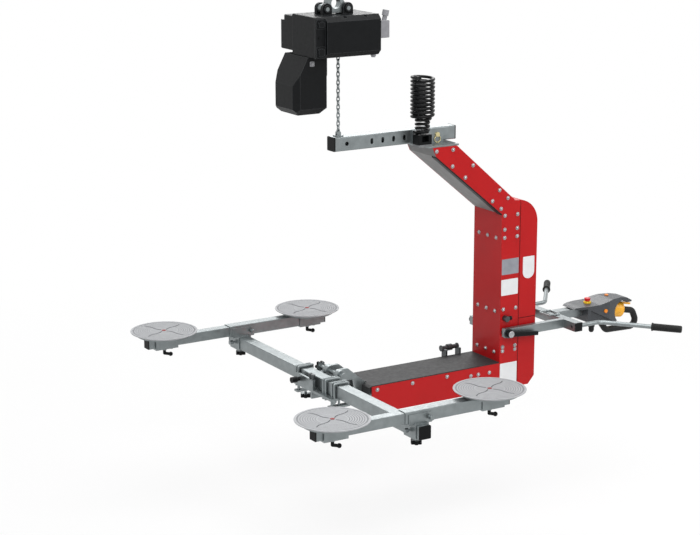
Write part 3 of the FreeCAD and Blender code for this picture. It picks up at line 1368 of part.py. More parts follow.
def column_valve():
    root = point(COLUMN_VALVE_X, -HALF_WIDTH, -COLUMN_VALVE_DROP)
    body = rod(root, root - Y * COLUMN_VALVE_HEIGHT, COLUMN_VALVE_RADIUS)
    hub = root - Y * (COLUMN_VALVE_HEIGHT / 2)
    return fuse(body, rod(hub, hub + X * (COLUMN_VALVE_RADIUS + VALVE_STEM), VALVE_STEM_RADIUS))


def valve_knob():
    y = -HALF_WIDTH - COLUMN_VALVE_HEIGHT / 2
    hub = point(COLUMN_VALVE_X + COLUMN_VALVE_RADIUS, y, -COLUMN_VALVE_DROP)
    start = hub + X * SLIP
    knob = rod(start, start + X * VALVE_KNOB_LENGTH, VALVE_KNOB_RADIUS)
    return cut(knob, rod(hub - X * OVERRUN, hub + X * (VALVE_STEM + SLIP), VALVE_STEM_RADIUS + RUN))


# Vacuum frame
def pad_rubber(x, y):
    lip_radius = PAD_DIAMETER / 2
    dish_radius = lip_radius - PAD_LIP_WIDTH
    floor = PAD_FACE - PAD_DISH
    bottom = PAD_FACE - PAD_RUBBER
    outline = [(0, bottom), (PAD_BODY_RADIUS, bottom), (lip_radius, PAD_FACE - PAD_LIP)]
    outline += [(lip_radius, PAD_FACE), (dish_radius + PAD_DISH, PAD_FACE), (dish_radius, floor)]
    for index in range(PAD_RIB_COUNT):
        outer = dish_radius - PAD_RIB_PITCH * (index + 1) + PAD_RIB_WIDTH
        outline += [
            (outer, floor),
            (outer, floor + PAD_RIB_HEIGHT),
            (outer - PAD_RIB_WIDTH, floor + PAD_RIB_HEIGHT),
            (outer - PAD_RIB_WIDTH, floor),
        ]
    outline.append((0, floor))
    corners = [point(x + r, y, z) for r, z in outline]
    face = Part.Face(Part.makePolygon(corners + corners[:1]))
    return face.revolve(point(x, y, 0), Z, 360)


def pad_carrier(x, y, tube_size):
    disc = rod_z(x, y, (PAD_DISC_BOTTOM, PAD_FACE - PAD_RUBBER), PAD_BODY_RADIUS)
    sleeve_width = CROSS_SIZE + 2 * (SLIP + PAD_SLEEVE_WALL)
    sleeve_bottom = CROSS_BOTTOM - SLIP - PAD_SLEEVE_WALL
    sleeve_x = around(x, PAD_SLEEVE_LENGTH)
    sleeve = block(sleeve_x, around(y, sleeve_width), (sleeve_bottom, PAD_DISC_BOTTOM))
    hole = block(
        (sleeve_x[0] - OVERRUN, sleeve_x[1] + OVERRUN),
        around(y, tube_size + 2 * SLIP),
        around(CROSS_Z, tube_size + 2 * SLIP),
    )
    boss_end = sleeve_bottom - PAD_BOSS_HEIGHT
    boss = rod_z(x, y, (boss_end, sleeve_bottom), PAD_BOSS_RADIUS)
    nut_x = x + PAD_NUT_OFFSET
    nut = rod_z(nut_x, y, (sleeve_bottom - PAD_NUT_HEIGHT, sleeve_bottom), PAD_NUT_RADIUS)
    body = cut(fuse(disc, sleeve, boss, nut), hole)
    elbow = point(x, y, boss_end - PAD_LEVER_STEM)
    tip = elbow + point(PAD_LEVER_LENGTH, 0, -PAD_LEVER_FALL)
    lever = fuse(
        rod(point(x, y, boss_end), elbow, PAD_LEVER_RADIUS),
        Part.makeSphere(PAD_LEVER_RADIUS, elbow),
        rod(elbow, tip, PAD_LEVER_RADIUS),
        Part.makeSphere(PAD_LEVER_RADIUS, tip),
    )
    return Part.makeCompound([body, lever])


def cross_beam(y):
    span = (CROSS_LEFT_X, CROSS_RIGHT_X - TUBE_CAP)
    tube = square_tube(X, (y, CROSS_Z), CROSS_SIZE, CROSS_WALL, CROSS_EDGE, span)
    sleeve_y = around(y, SLEEVE_LENGTH)
    sleeve = block(around(BEAM_X, SLEEVE_SIZE), sleeve_y, (SLEEVE_BOTTOM, CROSS_BOTTOM))
    beam_room = BEAM_SIZE + 2 * SLIP
    hole = block(
        around(BEAM_X, beam_room), (sleeve_y[0] - OVERRUN, sleeve_y[1] + OVERRUN), around(BEAM_Z, beam_room)
    )
    cheeks = []
    for side in (-1, 1):
        face = y + side * CROSS_SIZE / 2
        ys = sorted((face, face + side * CHEEK_PLATE))
        zs = (CROSS_BOTTOM - SLEEVE_WALL, CROSS_BOTTOM + CHEEK_HEIGHT)
        cheeks.append(block(around(BEAM_X, CHEEK_LENGTH), ys, zs))
    body = fuse(tube, cut(sleeve, hole), *cheeks)
    side_edges = around(y, CROSS_SIZE)
    cap = soft_block(
        (CROSS_RIGHT_X - TUBE_CAP, CROSS_RIGHT_X), side_edges, (CROSS_BOTTOM, CROSS_TOP), CROSS_EDGE, X
    )
    stud_root = point(BEAM_X, y, SLEEVE_BOTTOM)
    stud = rod(stud_root - Z * STAR_STUD, stud_root, STAR_STUD_RADIUS)
    star = fuse(stud, star_knob(stud_root - Z * STAR_STUD, -Z))
    left_knob = side_knob(point(BEAM_X - SLEEVE_SIZE / 2, y, BEAM_Z), -X)
    front = y - CROSS_SIZE / 2 - CHEEK_PLATE
    bolt_x = BEAM_X + CHEEK_LENGTH * CHEEK_BOLT_OFFSET_SHARE
    right_knob = side_knob(point(bolt_x, front, CROSS_BOTTOM + CHEEK_HEIGHT / 2), -Y)
    return Part.makeCompound([body, cap, star, left_knob, right_knob])


def inner_tube(y):
    span = (INNER_LEFT_X, INNER_RIGHT_X)
    tube = square_tube(X, (y, CROSS_Z), INNER_SIZE, INNER_WALL, INNER_WALL, span)
    cap_x = (INNER_LEFT_X - TUBE_CAP, INNER_LEFT_X)
    cap = soft_block(cap_x, around(y, INNER_SIZE), around(CROSS_Z, INNER_SIZE), INNER_WALL, X)
    return Part.makeCompound([tube, cap])


def main_beam():
    half = BEAM_LENGTH / 2
    tube = square_tube(Y, (BEAM_X, BEAM_Z), BEAM_SIZE, BEAM_WALL, BEAM_EDGE, (-half, half))
    sides = around(BEAM_X, BEAM_SIZE)
    heights = around(BEAM_Z, BEAM_SIZE)
    caps = [soft_block(sides, ys, heights, BEAM_EDGE, Y) for ys in mirrored(half, half + BEAM_CAP)]
    return Part.makeCompound([tube] + caps)


def clamp_legs():
    reach = BEAM_SIZE / 2 + CLAMP_GAP + CLAMP_ROD_RADIUS
    return (BEAM_X - reach, BEAM_X + reach)


def tilt_bracket():
    half = CRADLE_LENGTH / 2
    base = block((CRADLE_LEFT_X, CRADLE_RIGHT_X), (-half, half), (CRADLE_BOTTOM, CRADLE_TOP))
    beam_side = BEAM_X + BEAM_SIZE / 2 + SLIP
    solids = [base]
    tools = []
    for ys in mirrored(HEAD_EAR_INNER, HEAD_EAR_OUTER):
        web = block((beam_side, TILT_X + TILT_EYE_RADIUS), ys, (CRADLE_BOTTOM, TILT_Z))
        eye = rod_y(TILT_X, ys, TILT_Z, TILT_EYE_RADIUS)
        past = (ys[0] - OVERRUN, ys[1] + OVERRUN)
        solids += [web, eye]
        tools.append(rod_y(TILT_X, past, TILT_Z, TILT_PIN_RADIUS + RUN))
    for ys in mirrored(ARM_EAR_INNER - CRADLE_SLOT_MARGIN, HEAD_EAR_INNER):
        slot_x = (beam_side, CRADLE_RIGHT_X + OVERRUN)
        tools.append(block(slot_x, ys, (CRADLE_BOTTOM - OVERRUN, CRADLE_TOP + OVERRUN)))
    wall_z = (CRADLE_BOTTOM, CRADLE_TOP + CRADLE_WALL_HEIGHT)
    wall_x = (CRADLE_LEFT_X, CRADLE_LEFT_X + CRADLE_WALL)
    wall_y = around(PLUNGER_REACH - CRADLE_WALL_LENGTH / 2 + PLUNGER_KNOB, CRADLE_WALL_LENGTH)
    solids.append(block(wall_x, wall_y, wall_z))
    plunger_z = CRADLE_TOP + CRADLE_WALL_HEIGHT / 2
    rib_z = (CRADLE_BOTTOM - CRADLE_RIB_HEIGHT, CRADLE_BOTTOM)
    solids.append(block((CRADLE_LEFT_X, beam_side), around(0, CRADLE_RIB), rib_z))
    bore_x = (CRADLE_LEFT_X - OVERRUN, CRADLE_LEFT_X + CRADLE_WALL + OVERRUN)
    tools.append(
        rod_x(bore_x, PLUNGER_REACH, plunger_z, PLUNGER_RADIUS + RUN)
    )
    for y in (-CLAMP_REACH, CLAMP_REACH):
        for x in clamp_legs():
            low = point(x, y, CRADLE_BOTTOM - OVERRUN)
            tools.append(rod(low, point(x, y, CRADLE_TOP + OVERRUN), CLAMP_ROD_RADIUS + SLIP))
    return cut(fuse(*solids), *tools)


def beam_clamps():
    top = BEAM_TOP + SLIP + CLAMP_ROD_RADIUS
    bottom = CRADLE_BOTTOM - CLAMP_LEG_LENGTH
    left, right = clamp_legs()
    clamps = []
    for y in (-CLAMP_REACH, CLAMP_REACH):
        solids = [rod(point(left, y, top), point(right, y, top), CLAMP_ROD_RADIUS)]
        for x in (left, right):
            solids.append(Part.makeSphere(CLAMP_ROD_RADIUS, point(x, y, top)))
            solids.append(rod(point(x, y, bottom), point(x, y, top), CLAMP_ROD_RADIUS))
        bar_x = (left - CLAMP_BAR_MARGIN, right + CLAMP_BAR_MARGIN)
        solids.append(block(bar_x, around(y, CLAMP_BAR_WIDTH), (bottom, bottom + CLAMP_BAR)))
        stud_end = point(BEAM_X, y, bottom - STAR_STUD)
        solids.append(rod(stud_end, point(BEAM_X, y, CRADLE_BOTTOM), STAR_STUD_RADIUS))
        solids.append(star_knob(stud_end, -Z))
        clamps.append(fuse(*solids))
    return Part.makeCompound(clamps)


def beam_plunger():
    z = CRADLE_TOP + CRADLE_WALL_HEIGHT / 2
    tip = point(BEAM_X - BEAM_SIZE / 2 - SLIP, PLUNGER_REACH, z)
    wall = point(CRADLE_LEFT_X, PLUNGER_REACH, z)
    nose_end = wall - X * (SLIP + PLUNGER_NOSE)
    pin = rod(tip, nose_end, PLUNGER_RADIUS)
    nose = rod(wall - X * SLIP, nose_end, PLUNGER_NOSE_RADIUS)
    knob = rod(nose_end, nose_end - X * PLUNGER_KNOB, PLUNGER_KNOB_RADIUS)
    return fuse(pin, nose, knob)


# Handle and control unit
def handle_shaft():
    near = point(HANDLE_PIVOT_X, -HANDLE_ARM_OUTER, HANDLE_Z)
    far = point(HANDLE_PIVOT_X, HANDLE_ARM_OUTER, HANDLE_Z)
    solids = [rod(near - Y * (HANDLE_WASHER + LEVER_HUB), far, HANDLE_SHAFT_RADIUS)]
    solids.append(rod(near - Y * SLIP, near - Y * (HANDLE_WASHER - SLIP), HANDLE_WASHER_RADIUS))
    solids.append(rod(far + Y * SLIP, far + Y * HANDLE_WASHER, HANDLE_SPACER_RADIUS))
    solids.append(rod(far, far + Y * (HANDLE_WASHER + HANDLE_NUT), HANDLE_SHAFT_RADIUS))
    solids.append(rod(far + Y * HANDLE_WASHER, far + Y * (HANDLE_WASHER + HANDLE_NUT), HANDLE_NUT_RADIUS))
    for ys in mirrored(HALF_WIDTH, HANDLE_ARM_INNER - SLIP):
        solids.append(rod_y(HANDLE_PIVOT_X, ys, HANDLE_Z, HANDLE_SPACER_RADIUS))
    return fuse(*solids)


def handle_frame():
    arm_z = around(HANDLE_Z, HANDLE_ARM_HEIGHT)
    bar_z = around(HANDLE_Z, CROSSBAR_SIZE)
    bar_x = around(CROSSBAR_X, CROSSBAR_SIZE)
    start = HANDLE_PIVOT_X - HANDLE_ARM_BACK
    solids = [block(bar_x, (-CROSSBAR_REACH, CROSSBAR_REACH), bar_z)]
    tools = []
    wall = HANDLE_WALL
    past = CROSSBAR_REACH + OVERRUN
    tools.append(block((bar_x[0] + wall, bar_x[1] - wall), (-past, past), (bar_z[0] + wall, bar_z[1] - wall)))
    for ys in mirrored(HANDLE_ARM_INNER, HANDLE_ARM_OUTER):
        solids.append(block((start, bar_x[0]), ys, arm_z))
        room_x = (HANDLE_PIVOT_X + HANDLE_WASHER_RADIUS, bar_x[0] - wall)
        tools.append(block(room_x, (ys[0] + wall, ys[1] - wall), (arm_z[0] - OVERRUN, arm_z[1] - wall)))
        reach = (ys[0] - OVERRUN, ys[1] + OVERRUN)
        tools.append(rod_y(HANDLE_PIVOT_X, reach, HANDLE_Z, HANDLE_SHAFT_RADIUS + RUN))
    tube_y = around(0, CENTRE_TUBE_WIDTH)
    tube_z = around(HANDLE_Z, CENTRE_TUBE_HEIGHT)
    solids.append(block((bar_x[1], CONTROL_BACK_X), tube_y, tube_z))
    room_y = (tube_y[0] + wall, tube_y[1] - wall)
    room_z = (tube_z[0] + wall, tube_z[1] - wall)
    tools.append(block((bar_x[1] + wall, CONTROL_BACK_X + OVERRUN), room_y, room_z))
    for side in (-1, 1):
        y = side * (CROSSBAR_REACH - CROSSBAR_HOLE_INSET)
        hole_x = (bar_x[0] - OVERRUN, bar_x[0] + wall + OVERRUN)
        tools.append(rod_x(hole_x, y, HANDLE_Z, CROSSBAR_HOLE_RADIUS))
    return cut(fuse(*solids), *tools)


def bar_path(side):
    splay = math.radians(BAR_SPLAY)
    start = point(CROSSBAR_BACK, side * BAR_REACH, HANDLE_Z)
    bend = start + X * BAR_STRAIGHT
    heading = point(math.cos(splay), side * math.sin(splay), 0)
    return start, bend, bend + heading * BAR_LENGTH, heading


def handlebars():
    bars = []
    for side in (-1, 1):
        start, bend, end, _ = bar_path(side)
        bars.append(pipe(rounded_path([start, bend, end], [BAR_BEND_RADIUS]), BAR_RADIUS))
    return Part.makeCompound(bars)


def handle_grips():
    solids = []
    for side in (-1, 1):
        _, _, end, heading = bar_path(side)
        root = end - heading * (GRIP_LENGTH - GRIP_END)
        body = rod(root, end + heading * GRIP_END, GRIP_RADIUS)
        collar = rod(root, root + heading * GRIP_COLLAR, GRIP_COLLAR_RADIUS)
        room = rod(root - heading * OVERRUN, end + heading * SLIP, BAR_RADIUS + RUN)
        solids.append(cut(fuse(body, collar), room))
    for ys in mirrored(CROSSBAR_REACH, CROSSBAR_REACH + CROSSBAR_CAP):
        solids.append(block(around(CROSSBAR_X, CROSSBAR_SIZE), ys, around(HANDLE_Z, CROSSBAR_SIZE)))
    return Part.makeCompound(solids)


def control_place(share, drop_share):
    return (CONTROL_FRONT_X + share * CONTROL_LENGTH, CONTROL_TOP_Z - drop_share * CONTROL_HEIGHT)


def control_housing():
    lip_z = CONTROL_TOP_Z - CONTROL_LIP
    pairs = CONTROL_NOSE_SHARES + CONTROL_CROWN_SHARES + CONTROL_HOOD_SHARES + CONTROL_BASE_SHARES
    outline = [control_place(*pair) for pair in pairs]
    outline.append((CONTROL_BACK_X, lip_z))
    outline.append((CONTROL_FRONT_X + CONTROL_EDGE, lip_z))
    half = CONTROL_WIDTH / 2
    body = slab_xz(outline, (-half, half))
    near = [(CONTROL_FRONT_X + share * CONTROL_LENGTH, -half * width) for share, width in CONTROL_PLAN_SHARES]
    far = [(x, -y) for x, y in reversed(near)]
    plan = slab_xy(near + far, (CONTROL_TOP_Z - CONTROL_HEIGHT - OVERRUN, CONTROL_TOP_Z + OVERRUN))
    body = body.common(plan)
    collar_root = point(ESTOP_X, 0, ESTOP_Z)
    body = fuse(body, rod(collar_root, collar_root + Z * ESTOP_COLLAR, ESTOP_COLLAR_RADIUS))
    stem_foot = collar_root - Z * (BUTTON_DEPTH + ESTOP_TRAVEL + SLIP)
    stem_room = rod(stem_foot, collar_root + Z * (ESTOP_COLLAR + OVERRUN), ESTOP_STEM_RADIUS + SLIP)
    rooms = [button_room(*place) for place in (attach_place(), release_place())]
    mouth_x, mouth_z = control_place(*CONTROL_MOUTH_SHARES)
    past = half + OVERRUN
    rooms.append(rod_y(mouth_x, (-past, past), mouth_z, CONTROL_MOUTH_RADIUS))
    root, heading = collar_axis()
    pocket_end = root + heading * COLLAR_LENGTH
    rooms.append(rod(root - heading * COLLAR_GAP, pocket_end, COLLAR_RADIUS + COLLAR_GAP))
    corners = [control_place(*pair) for pair in CONTROL_RECESS_SHARES]
    for ys in mirrored(half - CONTROL_RECESS, past):
        rooms.append(slab_xz(corners, ys))
    return cut(body, stem_room, *rooms)


def attach_place():
    x, z = control_place(ATTACH_SHARE, 0)
    return point(x, ATTACH_OFFSET, z), Z


def release_place():
    x, z = control_place(RELEASE_SHARE, RELEASE_DROP_SHARE)
    return point(x, -CONTROL_WIDTH / 2, z), -Y


def button_room(face, heading):
    deep = face - heading * (BUTTON_DEPTH + BUTTON_TRAVEL + SLIP)
    return rod(deep, face + heading * OVERRUN, BUTTON_RADIUS + SLIP)


def button(face, heading):
    return rod(face - heading * BUTTON_DEPTH, face + heading * BUTTON_HEIGHT, BUTTON_RADIUS)


def estop_button():
    foot = point(ESTOP_X, 0, ESTOP_Z - BUTTON_DEPTH)
    neck = point(ESTOP_X, 0, ESTOP_Z + ESTOP_COLLAR + ESTOP_TRAVEL + SLIP)
    return fuse(rod(foot, neck, ESTOP_STEM_RADIUS), rod(neck, neck + Z * ESTOP_HEAD, ESTOP_HEAD_RADIUS))


def dgrip_points():
    places = []
    for share, drop_share in DGRIP_SHARES:
        x = CONTROL_FRONT_X + share * CONTROL_LENGTH
        places.append(point(x, 0, HANDLE_Z + drop_share * CONTROL_BOTTOM))
    return places


def control_grip():
    places = dgrip_points()
    radii = [DGRIP_ROUND * share for share in DGRIP_BEND_SHARES]
    loop = pipe(rounded_path(places, radii), DGRIP_RADIUS)
    return cut(loop, control_housing())


def collar_axis():
    places = dgrip_points()
    heading = (places[1] - places[0]).normalize()
    root = places[0] + heading * (COLLAR_START + DGRIP_RADIUS)
    return root, heading


def lift_collar():
    root, heading = collar_axis()
    barrel = Part.makeCone(COLLAR_RADIUS, COLLAR_RADIUS - COLLAR_TAPER, COLLAR_LENGTH, root, heading)
    up = heading.cross(Y)
    if up.z < 0:
        up = -up
    ear_height = COLLAR_RADIUS - COLLAR_TAPER - COLLAR_EAR_THICKNESS
    ear_root = root + heading * (COLLAR_LENGTH / 2) + up * ear_height
    ear = block((0, COLLAR_LENGTH / 2 + COLLAR_EAR), around(0, COLLAR_EAR_WIDTH), (0, COLLAR_EAR_THICKNESS))
    ear.rotate(point(0, 0, 0), Y, math.degrees(math.atan2(-heading.z, heading.x)))
    ear.translate(ear_root)
    bore_end = root + heading * (COLLAR_LENGTH + COLLAR_EAR + OVERRUN)
    bore = rod(root - heading * OVERRUN, bore_end, DGRIP_RADIUS + SLIP)
    return cut(fuse(barrel, ear), bore)


def clamp_lever():
    start = point(HANDLE_PIVOT_X, -LEVER_INNER, HANDLE_Z)
    hub = rod(start, start - Y * LEVER_HUB, LEVER_HUB_RADIUS)
    root = LEVER_ROOT / 2
    tip = LEVER_TIP / 2
    outline = [(0, -root), (LEVER_LENGTH, -tip), (LEVER_LENGTH, tip), (0, root)]
    outer = -LEVER_INNER - LEVER_HUB
    arm = slab_xz(outline, (outer, outer + LEVER_THICKNESS))
    arm.rotate(point(0, 0, 0), Y, LEVER_DIP)
    arm.translate(point(HANDLE_PIVOT_X, 0, HANDLE_Z))
    bore = rod(start + Y * OVERRUN, start - Y * (LEVER_HUB + OVERRUN), HANDLE_SHAFT_RADIUS + RUN)
    return cut(fuse(hub, arm), bore)


# All nodes of the lifter by name
def nodes():
    table = {
        "hoist_housing": hoist_housing(),
        "hoist_front_cover": hoist_front_cover(),
        "hoist_rear_cover": hoist_rear_cover(),
        "hoist_motor": hoist_motor(),
        "suspension_eye": suspension_eye(),
        "chain_bucket": chain_bucket(),
        "power_plug": power_plug(),
        "hoist_fasteners": hoist_fasteners(),
        "chain_wheel": chain_wheel(),
        "load_chain": load_chain(),
        "chain_anchor": chain_anchor(),
        "boom_tube": boom_tube(),
        "near_side_plate": side_plate(-1),
        "far_side_plate": side_plate(1),
        "column_front_plate": column_front_plate(),
        "arm_underside_plate": arm_underside_plate(),
        "rear_cover": rear_cover(),
        "lower_arm_cover": lower_arm_cover(),
        "lower_arm_floor": lower_arm_floor(),
        "head_bracket": head_bracket(),
        "vacuum_pump": vacuum_pump(),
        "vacuum_tank": vacuum_tank(),
        "frame_bolts": frame_bolts(),
        "cable_base": cable_base(),
        "spiral_cable": spiral_cable(),
        "cable_connector": cable_connector(),
        "slide_valve": slide_valve(),
        "column_valve": column_valve(),
        "arm_end_block": arm_end_block(),
        "handle_shaft": handle_shaft(),
        "tilt_pin": tilt_pin(),
        "boom_pin": boom_pin(),
        "valve_sleeve": valve_sleeve(),
        "valve_knob": valve_knob(),
        "handle_frame": handle_frame(),
        "handle_grips": handle_grips(),
        "handlebars": handlebars(),
        "control_housing": control_housing(),
        "control_grip": control_grip(),
        "clamp_lever": clamp_lever(),
        "estop_button": estop_button(),
        "attach_button": button(*attach_place()),
        "release_button": button(*release_place()),
        "lift_collar": lift_collar(),
        "tilt_bracket": tilt_bracket(),
        "beam_clamps": beam_clamps(),
        "beam_plunger": beam_plunger(),
        "main_beam": main_beam(),
    }
    for name, y in (("far", CROSS_REACH), ("near", -CROSS_REACH)):
        table[name + "_cross_beam"] = cross_beam(y)
        table[name + "_inner_tube"] = inner_tube(y)
        for side, x, size in (("left", PAD_LEFT_X, INNER_SIZE), ("right", PAD_RIGHT_X, CROSS_SIZE)):
            table[name + "_" + side + "_carrier"] = pad_carrier(x, y, size)
            table[name + "_" + side + "_pad"] = pad_rubber(x, y)
    return table


os.makedirs("parts", exist_ok=True)
for node, shape in nodes().items():
    shape.exportStep("parts/" + node + ".step")
print("least gap between turns of the spiral cable: %.2f mm" % coil_self_gap())
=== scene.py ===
import json
import math
import bmesh
import bpy
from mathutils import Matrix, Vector


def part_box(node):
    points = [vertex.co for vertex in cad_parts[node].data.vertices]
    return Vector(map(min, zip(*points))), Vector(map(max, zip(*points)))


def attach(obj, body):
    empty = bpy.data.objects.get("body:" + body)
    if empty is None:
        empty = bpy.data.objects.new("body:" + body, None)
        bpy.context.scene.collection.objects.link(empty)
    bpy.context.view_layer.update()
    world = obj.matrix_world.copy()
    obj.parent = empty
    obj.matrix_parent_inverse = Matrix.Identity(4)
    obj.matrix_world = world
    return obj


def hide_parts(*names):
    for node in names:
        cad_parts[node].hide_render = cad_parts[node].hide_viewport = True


# Glass panel lifter: finishes and fine pieces around the solid model, in metres in the model's frame
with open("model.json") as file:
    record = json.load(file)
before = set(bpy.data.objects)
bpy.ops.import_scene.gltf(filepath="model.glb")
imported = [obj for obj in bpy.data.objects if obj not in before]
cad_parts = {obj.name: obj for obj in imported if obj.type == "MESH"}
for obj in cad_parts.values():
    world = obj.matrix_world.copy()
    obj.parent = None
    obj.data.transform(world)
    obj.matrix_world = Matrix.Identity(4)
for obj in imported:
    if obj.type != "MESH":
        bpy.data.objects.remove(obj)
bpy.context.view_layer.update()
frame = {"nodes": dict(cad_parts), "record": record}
scene = bpy.context.scene
FULL_TURN = 2 * math.pi
X, Y, Z = range(3)
UP = (0, 0, 1)
DOWN = (0, 0, -1)
WHITE = (1.0, 1.0, 1.0, 1.0)


# Middle of a node's box
def middle_of(node):
    low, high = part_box(node)
    return (low + high) / 2


# Camera at the photograph's viewing angle
EYE = (-4.059, -6.732, 0.835)
GAZE = (0.5081, 0.8268, -0.2412)
LENS = 98.13
SENSOR = 36.0
CLIP_END = 200.0

# Studio: floor, world and lamps
FLOOR_MIDDLE = (0.4, 0.2, -2.30)
FLOOR_HALF = 60.0
FLOOR_COLOUR = (0.82, 0.82, 0.82, 1.0)
FLOOR_GLOW_SHARES = (0.74, 1.0)
FLOOR_GLOW_REACH = (1.6, 4.2)
WORLD_FILL = 0.42
WORLD_SEEN = 1.0
LAMPS = (
    # name, place, aim, width, height, watts
    ("top_softbox", (0.0, -0.6, 3.4), (0.35, 0.0, -1.5), 5.0, 4.0, 190.0),
    ("key_softbox", (-2.6, -6.4, 2.6), (0.4, 0.0, -1.2), 3.5, 3.0, 230.0),
    ("back_softbox", (2.6, 5.4, 2.2), (0.3, 0.0, -1.3), 5.0, 2.5, 170.0),
    ("side_softbox", (5.4, -2.8, 1.2), (0.6, 0.0, -1.3), 2.5, 2.5, 70.0),
)

# Spiral cable: a curly cord that stands on its base beside the boom
COIL_AXIS = (0.391, -0.077)
COIL_BOTTOM = -0.5625
COIL_START = math.radians(90.0)
COIL_PITCH = 0.0167
COIL_TURNS = 14.25
COIL_NECK_RADIUS = 0.027
COIL_RADIUS = 0.0465
COIL_NECK_TURNS = 3.25
COIL_FLARE_TURNS = 1.0
COIL_POINTS_PER_TURN = 24
CABLE_RADIUS = 0.0065
CABLE_BEVEL_STEPS = 5
CABLE_CURVE_STEPS = 3
TUBE_SCALE = 1.0  # the points of a line carry its radius

# Noise, bumps, rounded edges and painted edge highlights of all finishes, with lengths in metres
NOISE_LOW_SHARE = 0.3
NOISE_HIGH_SHARE = 0.7
NOISE_DETAIL = 3.0
MOTTLE_DETAIL = 4.0
GRAIN_DETAIL = 2.0
LEAST_ROUGH = 0.03
BUMP_STRENGTH = 0.6
EDGE_SAMPLES = 4
EDGE_RADIUS = 0.0012
# Radius and bend shares of the painted edge highlight
EDGE_SHEEN_RADIUS = 0.0035
EDGE_SHEEN_SHARES = (0.985, 0.86)
ALONG_X = (0.04, 1.0, 1.0)
ALONG_Y = (1.0, 0.04, 1.0)

# Patterns of the finishes: scale and share of a mottle or wear, scale and depth of a grain or pebbles
ZINC_MOTTLE = (28.0, 0.10)
ZINC_WEAR = (55.0, 0.07)
ZINC_BRUSH = (260.0, 0.00012)
ZINC_GRAIN = (1100.0, 0.00003)
POWDER_MOTTLE = (35.0, 0.12)
POWDER_WEAR = (70.0, 0.06)
POWDER_GRAIN = (900.0, 0.00012)
POWDER_WAVES = (90.0, 0.00010)
COVER_GRAIN = (700.0, 0.00020)
MOTOR_GRAIN = (400.0, 0.0004)
PUMP_GRAIN = (400.0, 0.0003)
MOULD_MOTTLE_SCALE = 50.0
MOULD_MOTTLE_SHARE = 0.08
MOULD_WEAR = (120.0, 0.05)
MOULD_PEBBLES = (1400.0, 0.00008)
PAD_MOTTLE_SHARE = 0.03
PAD_PEBBLES = (900.0, 0.00006)
JACKET_PEBBLES = (2200.0, 0.00005)
LABEL_MOTTLE_SHARE = 0.02
LABEL_PEBBLES = (300.0, 0.00002)
PAINT_MOTTLE = (6.0, 0.05)
PAINT_WEAR = (18.0, 0.05)
PAINT_GRAIN = (420.0, 0.00010)
PAINT_WAVES = (7.0, 0.00040)

# Plated steels: colour and roughness
ZINC_COLOUR = (0.235, 0.260, 0.265)
ZINC_ROUGH = 0.36
ZINC_GLOSS = 0.4
ZINC_METAL = 0.85
PLATED = {
    "zinc_steel": (ZINC_COLOUR, ZINC_ROUGH),
    "yellow_zinc": ((0.66, 0.57, 0.30), 0.30),
    "bolt_steel": ((0.40, 0.41, 0.42), 0.28),
    "dark_steel": ((0.075, 0.080, 0.083), 0.42),
    "label_grey": ((0.30, 0.31, 0.345), 0.42),
}

# Powder coats: colour, roughness, gloss, then grain and the colour of a painted edge highlight where they
# differ
# Lighter colour on the edges of black parts: a painted highlight
BLACK_EDGE_HIGHLIGHT = (0.050, 0.053, 0.056)
POWDERS = {
    "black_cast": ((0.0050, 0.0056, 0.0062), 0.44, 0.11, POWDER_GRAIN, BLACK_EDGE_HIGHLIGHT),
    "dark_cover": ((0.025, 0.025, 0.026), 0.55, 0.16, COVER_GRAIN),
    "grey_plate": ((0.19, 0.19, 0.19), 0.50, 0.20),
    "cast_motor": ((0.10, 0.10, 0.11), 0.55, 0.30, MOTOR_GRAIN),
    "pump_metal": ((0.42, 0.43, 0.45), 0.45, 0.40, PUMP_GRAIN),
    "tank_paint": ((0.09, 0.11, 0.15), 0.40, 0.40),
}

# Moulded rubbers and plastics: colour, roughness, gloss, then pebbles, mottle and the colour of a painted
# edge highlight where they differ
MOULDS = {
    "black_plastic": ((0.0052, 0.0057, 0.0062), 0.46, 0.12, MOULD_PEBBLES, MOULD_MOTTLE_SHARE, BLACK_EDGE_HIGHLIGHT),
    "pad_rubber": ((0.385, 0.393, 0.406), 0.60, 0.20, PAD_PEBBLES, PAD_MOTTLE_SHARE),
    # The grooves, the channel strips and the middle floor of the pads are darker than the rubber: painted
    # shade
    "pad_groove": ((0.225, 0.230, 0.240), 0.65, 0.10),
    "pad_line": ((0.075, 0.078, 0.086), 0.65, 0.10),
    "pad_filter": ((0.26, 0.045, 0.045), 0.55, 0.25),
    "pad_middle": ((0.318, 0.325, 0.337), 0.60, 0.15, PAD_PEBBLES, PAD_MOTTLE_SHARE),
    "cable_jacket": ((0.0050, 0.0053, 0.0058), 0.32, 0.14, JACKET_PEBBLES),
    "grip_rubber": ((0.014, 0.0145, 0.0145), 0.55, 0.20),
    "grey_plastic": ((0.042, 0.046, 0.052), 0.38, 0.40),
    "plug_plastic": ((0.24, 0.24, 0.255), 0.48, 0.25),
    "collar_plastic": ((0.83, 0.40, 0.025), 0.34, 0.35),
    "orange_plastic": ((0.82, 0.25, 0.02), 0.32, 0.35),
    "red_plastic": ((0.60, 0.015, 0.020), 0.30, 0.35),
    "stop_yellow": ((0.80, 0.52, 0.02), 0.38, 0.30),
    "seam_dark": ((0.05, 0.006, 0.007), 0.6, 0.1),
    "label_white": ((0.72, 0.73, 0.74), 0.42, 0.30, LABEL_PEBBLES, LABEL_MOTTLE_SHARE),
}

# Red paint of the column, and the grey coat of the cable's base, which is black above its foot
RED_COLOUR = (0.435, 0.0075, 0.0090)
RED_ROUGH = 0.33
RED_GLOSS = 0.18
BASE_COLOUR = (0.16, 0.165, 0.17)
BASE_ROUGH = 0.5
BASE_GLOSS = 0.2
BASE_FOOT = 0.0103

